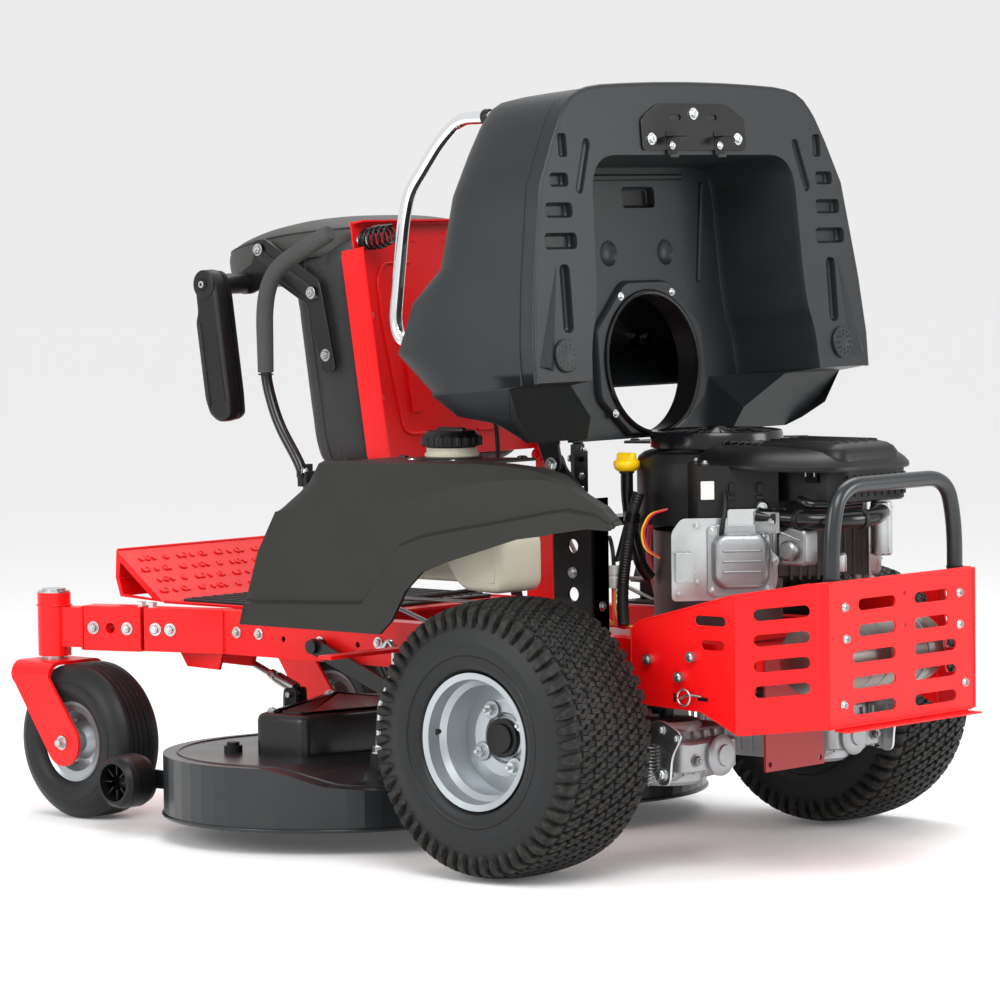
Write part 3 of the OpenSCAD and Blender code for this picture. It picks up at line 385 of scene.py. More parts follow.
def tread_block(piece, centre, shape, w0, a0, lift, mirror):
    """One turf block: shape is (across, along) in mm, laid on the crown and raised."""
    x, y, z = centre
    low, high = [], []
    for across, along in shape:
        w = w0 + across * mirror
        r = tread_radius(w, TREAD_HALF)
        for h, out, shrink in ((-2.0, low, 1.0), (lift, high, 0.90)):
            ww, aa = w0 + across * mirror * shrink, a0 + along * shrink / r
            rr = r + h
            out.append((x + rr * math.cos(aa), y + ww, z + rr * math.sin(aa)))
    n = len(shape)
    faces = [tuple(range(n, 2 * n))] + [(i, (i + 1) % n, n + (i + 1) % n, n + i) for i in range(n)]
    piece.add(low + high, faces, TREAD)


def rear_tyre(s):
    """A turf tyre: the carcass as rings, its Z blocks in columns and the shoulder lugs."""
    centre = (0, s * REAR_Y, REAR_R)
    p = Piece()
    wall = [(111.5, 86), (118, 95), (127, 99.5), (134, 99), (141, 101.2), (150, 102), (160, 101.6),
            (170, 99.5), (181, 97.0), (192, 93.8), (201, 90.5)]
    crown = [(tread_radius(w, TREAD_HALF), w) for w in range(84, -85, -12)]
    inner = [(r, -w) for r, w in wall[::-1]]
    rows = [(r, w, TYRE) for r, w in wall + crown + inner]
    tyre_ring(p, centre, [(r, s * w, m) for r, w, m in rows], 144)
    # a fine raised line round each side wall
    for side in (1, -1):
        tyre_ring(p, centre, [(137.8, side * 101.0, TYRE), (139, side * 102.3, TYRE),
                              (140.2, side * 101.0, TYRE)], 144)
    # each turf block is a Z, split along its middle by a fine cut
    upper = [(-12, -13.5), (-3, -13.5), (3, -5.5), (12, -5.5), (12, 3.0), (2.8, 3.0), (-3.2, -5.0),
             (-12, -5.0)]
    lower = [(-12, -3.2), (-4, -3.2), (2.0, 4.8), (12, 4.8), (12, 13.5), (3.6, 13.5), (-2.4, 5.5), (-12, 5.5)]
    count, columns = 54, 6
    pitch = math.tau / count
    for i in range(count):
        a = i * pitch
        for k in range(columns):
            w0 = (k - (columns - 1) / 2) * 26.2
            for half in (upper, lower):
                tread_block(p, centre, half, w0, a + (k % 2) * 0.5 * pitch + 0.010 * k, 5.2, 1)
        for side in (1, -1):
            # a shoulder lug runs from the crown down the side of the tyre, narrowing on its way
            b = a + (0.25 + 0.25 * side) * pitch
            rows = []
            for w, r, d, skew in ((78, 216, 9.5, -3.0), (88, 214.5, 9.5, 0.0), (95.5, 209, 8.8, 2.0),
                                  (99.5, 199, 6.8, 3.0), (100.5, 188, 4.0, 3.5)):
                aa, lift = b + side * skew / r, (0 if r < 190 else 2.5)
                foot = [(r - 6, w - 5, -d), (r - 6, w - 5, d)]
                head = [(r + lift, w + (0.4 if r < 190 else 2.0), d * 0.82),
                        (r + lift, w + (0.4 if r < 190 else 2.0), -d * 0.82)]
                rows.append([(q * math.cos(aa + e / q), s * REAR_Y + side * v,
                              REAR_R + q * math.sin(aa + e / q)) for q, v, e in foot + head])
            p.grid(rows, TREAD, closed=True, caps=True)
    p.make("rear_tyre_%s_treaded" % SIDE_NAME[s], "rear_wheel_" + SIDE_NAME[s], "tyre",
           ["rear_tyre_" + SIDE_NAME[s]], angle=40, merge=False)


def caster_tyre(s):
    """A smooth front tyre with ribs round its tread."""
    centre = (CASTER_X, s * CASTER_Y, CASTER_R)
    p = Piece()
    half = [(72.6, 44), (78, 51), (86, 55.5), (95, 57.6), (104, 57.6), (112, 56), (119, 53), (126, 48.5),
            (132, 42.5), (135.5, 38)]
    crown = []
    for w in (34, 22, 10, -2):
        crown += [(138.2, w), (138.6, w - 4), (138.2, w - 8), (135.4, w - 8.8), (135.4, w - 11.2)]
    full = half + crown + [(138.2, -14), (138.6, -20), (138.2, -34)] + [(r, -w) for r, w in half[::-1]]
    tyre_ring(p, centre, [(r, w, TYRE) for r, w in full], 120)
    for side in (1, -1):
        tyre_ring(p, centre, [(106, side * 57.2, TYRE), (107.2, side * 58.0, TYRE),
                              (108.4, side * 56.6, TYRE)], 120)
    p.make("caster_tyre_%s_ribbed" % SIDE_NAME[s], "caster_wheel_" + SIDE_NAME[s], "tyre",
           ["caster_tyre_" + SIDE_NAME[s]], angle=40)


for side in SIDES:
    rear_tyre(side)
    caster_tyre(side)


# ---- wheels and their trim -------------------------------------------------------
def rear_rim_trim(s):
    """Valve, wheel bolts and hub caps of a drive wheel."""
    y = s * REAR_Y
    p = Piece()
    valve = [(103, y + s * 40, 238), (103, y + s * 46, 238), (100, y + s * 62, 237), (98, y + s * 76, 236)]
    stem = bent(valve, 6)
    p.tube(stem, [6.5] * (len(stem) // 2) + [4.6] * (len(stem) - len(stem) // 2), RUBBER, 14)
    for i in range(4):
        a = math.radians(62 + 90 * i)
        x, z = 51 * math.cos(a), REAR_R + 51 * math.sin(a)
        p.lathe([(0, 0), (14, 0), (15.5, 2.5), (14, 4), (0, 4)], (x, y + s * 20.5, z), (0, s, 0), RIM, 28)
        p.lathe([(0, 0), (4, 0), (4, 7), (3, 8.5), (0, 8.5)], (x, y + s * 33, z), (0, s, 0), ZINC, 14)
    p.lathe([(0, 0), (24, 0), (24, 3), (23, 5), (8, 6.0), (0, 6.2)], (0, y + s * 26, REAR_R), (0, s, 0),
            PLASTIC, 48)
    p.lathe([(0, 0), (36, 0), (36, 2), (33, 4), (0, 4)], (0, y + s * 13, REAR_R), (0, s, 0), RIM, 48)
    p.make("rear_wheel_trim_" + SIDE_NAME[s], "rear_wheel_" + SIDE_NAME[s], "rim", bevel=0.4)


def caster_trim(s):
    """Axle nuts on the fork, hub caps and screws on the wheel."""
    p = Piece()
    for side in (1, -1):
        c = (CASTER_X, s * CASTER_Y + side * 76, CASTER_R)
        p.lathe([(0, 0), (7, 0), (7, 5), (5.5, 6.5), (0, 6.5)], c, (0, side, 0), ZINC, 18)
        p.lathe([(0, -6.6), (13, -6.6), (13, -4.6), (0, -4.6)], c, (0, side, 0), ZINC, 28)
    p.make("caster_axle_nuts_" + SIDE_NAME[s], "caster_fork_" + SIDE_NAME[s], "zinc", bevel=0.4)
    q = Piece()
    for side in (1, -1):
        q.lathe([(6.3, 0), (17, 0), (15, 2.5), (6.3, 2.5)], (CASTER_X, s * CASTER_Y + side * 58, CASTER_R),
                (0, side, 0), PLASTIC, 30)
        for i in range(6):
            a = math.radians(60 * i)
            q.lathe([(0, 0), (5.5, 0), (4.5, 3), (0, 3)], (CASTER_X + 42 * math.cos(a),
                                                           s * CASTER_Y + side * 15.4,
                                                           CASTER_R + 42 * math.sin(a)), (0, side, 0), ZINC, 6)
    q.make("caster_hub_trim_" + SIDE_NAME[s], "caster_wheel_" + SIDE_NAME[s], "rim", bevel=0.3)


for side in SIDES:
    rear_rim_trim(side)
    caster_trim(side)


# ---- outlines --------------------------------------------------------------------
def ring(cx, cy, r, n=40, a0=0.0):
    """A round outline."""
    return [(cx + r * math.cos(a0 + k * math.tau / n), cy + r * math.sin(a0 + k * math.tau / n))
            for k in range(n)]


def round_rect(cx, cy, w, h, r, n=5):
    """A rectangle outline with round corners."""
    out = []
    for sx, sy, a in ((1, 1, 0), (-1, 1, 90), (-1, -1, 180), (1, -1, 270)):
        for k in range(n + 1):
            t = math.radians(a + 90 * k / n)
            out.append((cx + sx * (w / 2 - r) + r * math.cos(t), cy + sy * (h / 2 - r) + r * math.sin(t)))
    return out


def bar_loop(a, b, w, n=8):
    """A slot outline from a to b of width w."""
    d = math.atan2(b[1] - a[1], b[0] - a[0])
    out = []
    for c, base in ((b, d - math.pi / 2), (a, d + math.pi / 2)):
        out += [(c[0] + w / 2 * math.cos(base + math.pi * k / n),
                 c[1] + w / 2 * math.sin(base + math.pi * k / n)) for k in range(n + 1)]
    return out


def round_corners(loop, r, n=4):
    """An outline with its corners rounded off over a length r."""
    out = []
    for i, p in enumerate(loop):
        p, a, b = Vector(p), Vector(loop[i - 1]), Vector(loop[(i + 1) % len(loop)])
        s = p + (a - p).normalized() * min(r, (a - p).length * 0.45)
        e = p + (b - p).normalized() * min(r, (b - p).length * 0.45)
        out += [tuple((1 - t) ** 2 * s + 2 * t * (1 - t) * p + t * t * e)
                for t in [k / n for k in range(n + 1)]]
    return out


def inset(loop, d):
    """A closed outline moved inward by d."""
    pts = [Vector(p) for p in loop]
    area = sum(a.x * b.y - b.x * a.y for a, b in zip(pts, pts[1:] + pts[:1]))
    turn = 1 if area > 0 else -1
    out = []
    for i, p in enumerate(pts):
        a, b = (p - pts[i - 1]), (pts[(i + 1) % len(pts)] - p)
        if a.length < 1e-6 or b.length < 1e-6:
            out.append(tuple(p))
            continue
        a, b = a.normalized(), b.normalized()
        na, nb = Vector((-a.y, a.x)), Vector((-b.y, b.x))
        m = na + nb
        m = m / max(0.35, m.length_squared / 2) if m.length > 1e-6 else na
        out.append(tuple(p + m * d * turn))
    return out


def puck(piece, loop, levels, point, mat):
    """An outline stacked at (depth, inset) levels; point(p, q, depth) puts it in space."""
    rows = [[point(p, q, d) for p, q in inset(loop, i)] for d, i in levels]
    piece.grid(rows, mat, closed=True, caps=True)


def sheet_with_holes(piece, outer, holes, point, mat):
    """A flat sheet in two coordinates with holes in it."""
    loops = [[Vector((p, q, 0)) for p, q in loop] for loop in [outer, *holes]]
    flat = [v for loop in loops for v in loop]
    piece.add([point(v.x, v.y) for v in flat], tessellate_polygon(loops), mat)


def well(piece, loop, levels, point, mat, floor=None):
    """Walls from an outline through (depth, inset) levels down to a floor."""
    rows = [[point(p, q, d) for p, q in inset(loop, i)] for d, i in levels]
    piece.grid(rows, mat, closed=True)
    if floor:
        d, i = levels[-1]
        sheet_with_holes(piece, inset(loop, i), [], lambda p, q: point(p, q, d), floor)


# ---- hood -------------------------------------------------------------------------
HOOD_AT, HOOD_LEAN = (95, 655), 4.5
SEAT_AT, SEAT_TIP = (505, 640), 99.0
RIM_X, FLOOR_X = -175.0, -15.0
DUCT_Y, DUCT_Z, DUCT_R = -30.0, 160.0, 121.0


def hood_pt(x, y, z):
    """A point of the raised hood's own frame."""
    return turned([(x, y, z)], HOOD_AT, HOOD_LEAN)[0]


def hood_dir(x, y, z):
    """A direction of the hood's own frame."""
    return Vector(hood_pt(x, y, z)) - Vector(hood_pt(0, 0, 0))


def seat_pt(x, y, z):
    """A point of the tipped seat's own frame."""
    return turned([(x, y, z)], SEAT_AT, SEAT_TIP)[0]


def seat_side(s):
    """A side-view outline in the seat's frame, on side s."""
    return lambda x, z, d: seat_pt(x, s * d, z)


HOOD_W = [(35, 330), (74, 400), (127, 432), (190, 432), (290, 420), (450, 390), (520, 354), (560, 330),
          (575, 318), (590, 303), (601, 283), (607, 258), (611, 225)]
HOOD_X1 = [(37, -48), (80, -15), (90, 72), (201, 212), (281, 173), (334, 98), (490, 66), (600, 42),
           (611, -10)]
HOOD_X0 = [(37, -60), (60, -98), (127, -112), (132, -175), (611, -175)]


def along(table, v):
    """A table's value at v, by straight lines between its rows."""
    return float(np.interp(v, [a for a, _ in table], [b for _, b in table]))


def hood():
    """The hood: outer skin, flange with pockets, recess with its duct, and underside."""
    p = Piece()
    # outer skin, one U-shaped row for each height; low down its middle is open to the front
    heights = [38, 50, 74, 90, 110, 127, 132, 160, 190, 201, 230, 260, 281, 300, 320, 334, 370, 410, 450, 490,
               520, 545, 560, 575, 590, 601, 607, 611]
    rows = []
    for z in heights:
        x0, x1, w = along(HOOD_X0, z), along(HOOD_X1, z), along(HOOD_W, z)
        row = []
        for k in range(61):
            a = math.pi * k / 60
            e = 0.27
            x = x0 + (x1 - x0) * spow(math.sin(a), e)
            y = w * spow(math.cos(a), e)
            taper = 1 - 0.03 * smooth(0, 200, x) - 0.006 * smooth(-175, 0, x)
            row.append(hood_pt(x, y * taper, z + crown(y, w, z)))
        rows.append(row)
    p.grid(rows[5:], HOOD)
    for part in (slice(0, 20), slice(41, 61)):
        p.grid([r[part] for r in rows[:6]], HOOD)
    p.add(rows[-1], [tuple(range(61))], HOOD)
    edge = [r[19] for r in rows[:6]] + rows[5][20:41] + [r[41] for r in rows[:6][::-1]]
    p.tube(edge, 3.2, HOOD, 10)
    # a rolled bead round the rim, and a finer one behind it
    bead = [(along(HOOD_W, z), z + crown(along(HOOD_W, z), along(HOOD_W, z), z)) for z in heights[6:]]
    top_w = along(HOOD_W, 611)
    bead += [(top_w * t, 611 + crown(top_w * t, top_w, 611)) for t in (0.8, 0.6, 0.4, 0.2, 0.0)]
    bead = bead + [(-y, z) for y, z in bead[::-1] if y]
    p.tube([hood_pt(RIM_X + 3, y * 0.998, z - 1) for y, z in bead], 4.0, HOOD, 10)
    p.tube([hood_pt(RIM_X + 34, y * 0.999, z - 2) for y, z in bead], 2.2, HOOD, 8)
    # the flange, with its pockets
    outer = [(y * 0.996, z) for y, z in bead]
    arch = [tuple(v)[:2] for v in bent([(298, 132, 0), (292, 200, 0), (272, 250, 0), (262, 498, 0),
                                        (-262, 498, 0), (-272, 250, 0), (-292, 200, 0), (-298, 132, 0)], 62,
                                        8)]
    pockets = []
    for s in (1, -1):
        pockets += [(round_rect(s * 331, 514, 22, 39, 6), 12), (round_rect(s * 345, 458, 46, 23, 7), 14),
                    (round_rect(s * 350, 409, 66, 25, 8), 15), (round_rect(s * 351, 359, 80, 27, 9), 16),
                    (round_rect(s * 347, 266, 26, 111, 10), 14), (bar_loop((s * 272, 516), (s * 296, 444),
                                                                           19), 10)]
    sheet_with_holes(p, outer + arch[::-1], [q for q, _ in pockets], lambda y, z: hood_pt(RIM_X, y, z), HOOD)
    for q, depth in pockets:
        well(p, q, [(0, 0), (1.5, 0.8), (depth - 3, 2.0), (depth, 5.0)], lambda y, z,
             d: hood_pt(RIM_X + d, y, z), HOOD, HOOD)
    back = hood_dir(-1, 0, 0)
    for s in (1, -1):
        # round perforated bosses low on the flange
        cy, cz = s * 361, 174
        p.lathe([(0, 0), (27, 0), (27, 4), (25, 6), (9, 6.5), (0, 4)], hood_pt(RIM_X, cy, cz), back, HOOD, 36)
        for r, n in ((19.5, 12), (13, 8)):
            for i in range(n):
                a = i * math.tau / n
                p.lathe([(0, 0), (2.3, 0), (2.3, 1.2), (0, 1.2)],
                        hood_pt(RIM_X - 5.6, cy + r * math.cos(a), cz + r * math.sin(a)), back, GLOSSY, 10)
        # a long low ridge beside them
        tri = [(s * 366, 322), (s * 391, 150), (s * 424, 158)]
        ridge = hood_pt(RIM_X - 8, s * 408, 156)
        p.add([hood_pt(RIM_X - 0.2, y, z) for y, z in tri] + [ridge], [(0, 1, 3), (1, 2, 3), (2, 0, 3)], HOOD)

    # recess: walls from the arch to the floor, widening low down
    def recess(t):
        side, top = 262 - 30 * t, 498 - 6 * t
        r = 62 - 10 * t
        path = [(side + 36, 132, 0), (side + 30, 200, 0), (side + 10, 250, 0), (side, top, 0)]
        mirrored = [(-y, z, 0) for y, z, _ in path[::-1]]
        return [tuple(v)[:2] for v in bent(path + mirrored, r, 8)]
    levels = [(0, 0.0), (3, 0.04), (8, 0.10), (60, 0.45), (120, 0.82), (148, 0.93), (157, 1.0), (160, 1.06)]
    rows = [[hood_pt(RIM_X + d, y, z) for y, z in recess(t)] for d, t in levels]
    p.grid(rows, HOOD)
    floor_loop = recess(1.06) + [(-190, 131), (-188, 34), (188, 34), (190, 131)]
    boss = ring(DUCT_Y, DUCT_Z, 152, 8, math.radians(22.5))
    boss = [(y, max(38, z)) for y, z in round_corners(boss, 14)]
    pocket = round_rect(-37, 441, 86, 36, 8)
    dimples = [ring(50, 347, 22, 28), ring(-98, 347, 22, 28)]
    sheet_with_holes(p, floor_loop, [boss, pocket, *dimples], lambda y, z: hood_pt(FLOOR_X, y, z), HOOD)
    deep = lambda y, z, d: hood_pt(FLOOR_X + d, y, z)
    well(p, pocket, [(0, 0), (1.5, 1), (14, 3), (16, 6)], deep, HOOD, GLOSSY)
    for q in dimples:
        well(p, q, [(0, 0), (2, 2), (7, 8), (9, 15)], deep, HOOD, HOOD)
    well(p, boss, [(0, 0), (-3, 0.5), (-10, 3), (-12, 5)], deep, HOOD)
    sheet_with_holes(p, inset(boss, 5), [ring(DUCT_Y, DUCT_Z, DUCT_R - 6, 72)], lambda y,
                     z: hood_pt(FLOOR_X - 12, y, z), HOOD)
    # ribs pressed into the floor
    for a, b in (((-180, 300), (-205, 460)), ((180, 300), (205, 460)), ((-150, 475), (150, 475)),
                 ((105, 310), (160, 400))):
        puck(p, bar_loop(a, b, 12), [(FLOOR_X + 1, 0), (FLOOR_X - 4, 1.5), (FLOOR_X - 5.5, 4)], lambda y, z,
             d: hood_pt(d, y, z), HOOD)
    # lower side walls and the slanted underside
    for s in (1, -1):
        rows = []
        for x, z, yi in ((-175, 132, 298), (-112, 127, 280), (-80, 74, 200), (-60, 38, 190)):
            rows.append([hood_pt(x, s * (yi + (along(HOOD_W, z) - yi) * t), z) for t in (0, 0.3, 0.6, 1)])
        p.grid(rows, HOOD)
        p.add([hood_pt(*q) for q in ((-175, s * 298, 132), (-112, s * 280, 127), (-15, s * 268, 132),
                                     (-80, s * 200, 74), (-60, s * 190, 38), (-15, s * 188, 34),
                                     (-15, s * 190, 131))], [(0, 1, 2), (1, 3, 6, 2), (3, 4, 5, 6)], HOOD)
        p.grid([[hood_pt(x, s * y, 38) for y in (190, 326)] for x in (-60, -52)], HOOD)
    p.make("hood_moulding", "hood", "hood", ["hood_shell"], bevel=0.9, angle=28)

    # the short duct behind the opening
    q = Piece()
    axis = hood_dir(1, 0, 0)
    centre = hood_pt(FLOOR_X - 12, DUCT_Y, DUCT_Z)
    r = DUCT_R - 6
    rows = [[Vector(centre) + axis * h + (r - dr) * hood_dir(0, math.cos(a), math.sin(a))
             for a in angles(72)] for dr, h in ((0, 0), (-1, 3), (-2.5, 42), (-4.5, 44), (-4.5, 4))]
    q.grid(rows, PLASTIC, closed=True)
    q.make("hood_duct", "hood", "plastic")
    hood_trim(axis)


def crown(y, w, z):
    """The hood's top edge rises a little towards its middle."""
    return 6 * (1 - (y / max(w, 1)) ** 2) * float(smooth(560, 611, z))


def hood_trim(axis):
    """Duct ring, latch, hinge arms and rails of the hood."""
    p = Piece()
    centre = hood_pt(FLOOR_X - 12, DUCT_Y, DUCT_Z)
    r = DUCT_R
    rows = [[Vector(centre) + axis * h + q * hood_dir(0, math.cos(a), math.sin(a)) for a in angles(96)]
            for q, h in ((r - 6.5, 1), (r - 5, -4), (r - 1, -6), (r + 2, -4.5), (r + 4, 0.2))]
    p.grid(rows, GLOSSY, closed=True)
    for a in (58, 118, 322):
        a = math.radians(a)
        y, z = DUCT_Y + (r + 13) * math.cos(a), DUCT_Z + (r + 13) * math.sin(a)
        p.bolt(hood_pt(FLOOR_X - 12, y, z), -axis, 5.0)
    # latch plate, its bolts, and the spring clips
    plate = round_corners([(-135, 505), (135, 505), (135, 558), (88, 583), (-88, 583), (-135, 558)], 10)
    holes = [bar_loop((-58, 560), (-36, 560), 9), bar_loop((36, 560), (58, 560), 9)]
    level = lambda d: (lambda y, z: hood_pt(RIM_X - d, y, z))
    sheet_with_holes(p, inset(plate, 0.6), holes, level(3.6), GLOSSY)
    p.grid([[hood_pt(RIM_X - d, y, z) for y, z in inset(plate, i)]
            for d, i in ((0.2, 0), (2.8, 0), (3.6, 0.6))], GLOSSY, closed=True)
    for h in holes:
        well(p, h, [(0, 0), (-3, 0)], lambda y, z, d: hood_pt(RIM_X - 3.6 - d, y, z), PLASTIC, PLASTIC)
    for y, z in ((0, 566), (112, 524), (-112, 524)):
        p.bolt(hood_pt(RIM_X - 3.6, y, z), -axis, 7.5)
    for y in (-62, 62):
        strap = [(RIM_X - 3, y, 540), (RIM_X - 4.6, y, 535), (RIM_X - 5, y, 527), (RIM_X - 24, y, 526),
                 (RIM_X - 31, y, 522), (RIM_X - 31, y, 517)]
        rows = [[hood_pt(x + dx, yy, z + dz) for yy, dx,
                 dz in ((y - 12, 0, 0), (y + 12, 0, 0), (y + 12, 1.4, 1.8), (y - 12, 1.4, 1.8))] for x, _,
                 z in strap]
        p.grid(rows, GLOSSY, closed=True, caps=True)
        low = [(RIM_X - 4.2, 530), (RIM_X - 5, 500), (RIM_X - 9, 493), (RIM_X - 12, 498)]
        rows = [[hood_pt(x + dx, yy, z) for yy, dx in ((y - 11, 0), (y + 11, 0), (y + 11, 2), (y - 11, 2))]
                for x, z in low]
        p.grid(rows, GLOSSY, closed=True, caps=True)
        p.bolt(hood_pt(RIM_X - 5.5, y, 513), -axis, 5.0)
    # hinge arms
    arm = round_corners([(-18, -2), (-13, -13), (0, -18), (13, -13), (18, -2), (40, 60), (40, 250),
                         (-9.9, 250), (-9.9, 60)], 7)
    for s in SIDES:
        puck(p, arm, [(206, 1), (207, 0), (211, 0), (212, 1)], lambda x, z, d: hood_pt(x, s * d, z), BLACK)
        p.bolt(hood_pt(0, s * 216, 0), (0, s, 0), 9)
        for x, z in ((14, 90), (14, 140), (14, 215)):
            p.bolt(hood_pt(x, s * 212, z), (0, s, 0), 5.5)
    p.make("hood_hardware", "hood", "plastic", ["hood_fittings"], bevel=0.3)

    q = Piece()
    for s in SIDES:
        y = s * 250
        path = [(150, y, 1232), (258, y, 1231), (304, y, 1196), (378, y, 1110), (392, y, 1060), (415, y, 890),
                (401, y, 856), (270, y, 850)]
        q.tube(bent(path, 24, 8), 11, CHROME, 28)
        for x, z in ((290, 850), (196, 1232)):
            q.lathe([(11.2, -6), (13, -6), (13.8, -4), (13.8, 4), (13, 6), (11.2, 6)], (x, y, z), (1, 0, 0),
                    PLASTIC, 32)
        q.bolt((318, y + s * 10, 852), (0, s, 0), 6.5)
    q.make("hood_rails_polished", "hood", "chrome", ["hood_rails"])


hood()


# ---- seat ---------------------------------------------------------------------------
def inflate(o, pinned, pressure, cap):
    """A short cloth run: pressure fills the piece between its pinned seams."""
    rest = np.array([v.co for v in o.data.vertices])
    group = o.vertex_groups.new(name="seams")
    group.add([i for i, co in enumerate(rest) if pinned(co)], 1.0, "REPLACE")
    c = o.modifiers.new("fill", "CLOTH")
    c.settings.use_pressure = True
    c.settings.uniform_pressure_force = pressure
    c.settings.vertex_group_mass = "seams"
    c.settings.tension_stiffness = c.settings.compression_stiffness = 12
    c.settings.bending_stiffness = 0.6
    c.settings.mass = 0.3
    c.settings.effector_weights.gravity = 0
    c.settings.quality = 5
    c.point_cache.frame_start, c.point_cache.frame_end = 1, 20
    scene = bpy.context.scene
    scene.frame_start, scene.frame_end = 1, 20
    for f in range(1, 21):
        scene.frame_set(f)
    done = bpy.data.meshes.new_from_object(o.evaluated_get(bpy.context.evaluated_depsgraph_get()))
    o.modifiers.clear()
    o.data = done
    now = np.array([v.co for v in done.vertices])
    step = now - rest
    far = np.linalg.norm(step, axis=1, keepdims=True)
    now = rest + step * np.minimum(1, cap / np.maximum(far, 1e-9))
    done.vertices.foreach_set("co", now.ravel())
    done.update()
    scene.frame_set(1)
    return rest


def seat_block(name, body, cad, size, mats, squareness, voxel, seams, pressure, cap, shape):
    """A stuffed seat part: a rounded block in the seat's own frame, remeshed and filled."""
    x0, x1, y0, y1, z0, z1 = size
    cx, cy, cz = (x0 + x1) / 2, (y0 + y1) / 2, (z0 + z1) / 2
    bm = bmesh.new()
    bmesh.ops.create_cube(bm, size=2.0)
    bmesh.ops.subdivide_edges(bm, edges=bm.edges, cuts=23, use_grid_fill=True)
    for v in bm.verts:
        a, b, c = v.co
        n = (abs(a) ** squareness + abs(b) ** squareness + abs(c) ** squareness) ** (1 / squareness)
        k = max(abs(a), abs(b), abs(c)) / n
        x, y, z = shape(cx + a * k * (x1 - x0) / 2, cy + b * k * (y1 - y0) / 2, cz + c * k * (z1 - z0) / 2)
        v.co = at(*seat_pt(x, y, z))
    me = bpy.data.meshes.new(name)
    bm.to_mesh(me)
    bm.free()
    o = bpy.data.objects.new(name, me)
    bpy.context.scene.collection.objects.link(o)
    r = o.modifiers.new("even", "REMESH")
    r.mode = "VOXEL"
    r.voxel_size = voxel / 1000
    me2 = bpy.data.meshes.new_from_object(o.evaluated_get(bpy.context.evaluated_depsgraph_get()))
    o.modifiers.clear()
    o.data = me2
    hinge = np.array(at(SEAT_AT[0], 0, SEAT_AT[1]))
    c, s = math.cos(math.radians(SEAT_TIP)), math.sin(math.radians(SEAT_TIP))

    def local(co):
        x, z = (co[0] - hinge[0]) * 1000, (co[2] - hinge[2]) * 1000
        return np.array((x * c - z * s, co[1] * 1000, x * s + z * c))
    rest = inflate(o, lambda co: seams(local(co)), pressure, cap)
    o.data.materials.clear()
    for m in mats:
        o.data.materials.append(m)
    o.data.polygons.foreach_set("use_smooth", [True] * len(o.data.polygons))
    sub = o.modifiers.new("round", "SUBSURF")
    sub.levels = sub.render_levels = 1
    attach(o, body)
    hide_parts(cad)
    return o


def seam_loop(size, squareness, axis, where, n=160):
    """The outline of a seat block at a height along one of its axes (0 is x, 2 is z)."""
    c = [(size[0] + size[1]) / 2, (size[2] + size[3]) / 2, (size[4] + size[5]) / 2]
    h = [(size[1] - size[0]) / 2, (size[3] - size[2]) / 2, (size[5] - size[4]) / 2]
    others = [i for i in (0, 1, 2) if i != axis]
    level = (where - c[axis]) / h[axis]
    r = (1 - abs(level) ** squareness) ** (1 / squareness)
    out = []
    for k in range(n):
        a = k * math.tau / n
        q = [0.0, 0.0, 0.0]
        q[axis] = where
        for i, v in zip(others, (math.cos(a), math.sin(a))):
            q[i] = c[i] + h[i] * r * spow(v, 2 / squareness)
        out.append(q)
    return out


def stitch(piece, loop, place, mat):
    """A sewn welt along a closed loop, with a row of stitches on each side of it."""
    pts = [Vector(place(*q)) for q in loop]
    centre = sum(pts, Vector()) / len(pts)
    rows = []
    for i, p in enumerate(pts):
        t = (pts[(i + 1) % len(pts)] - pts[i - 1]).normalized()
        out = (p - centre).normalized()
        side = t.cross(out).normalized()
        out = side.cross(t)
        rows.append([p + 1.7 * (math.cos(a) * out + math.sin(a) * side) for a in angles(8)])
    piece.grid(rows + rows[:1], mat, closed=True)


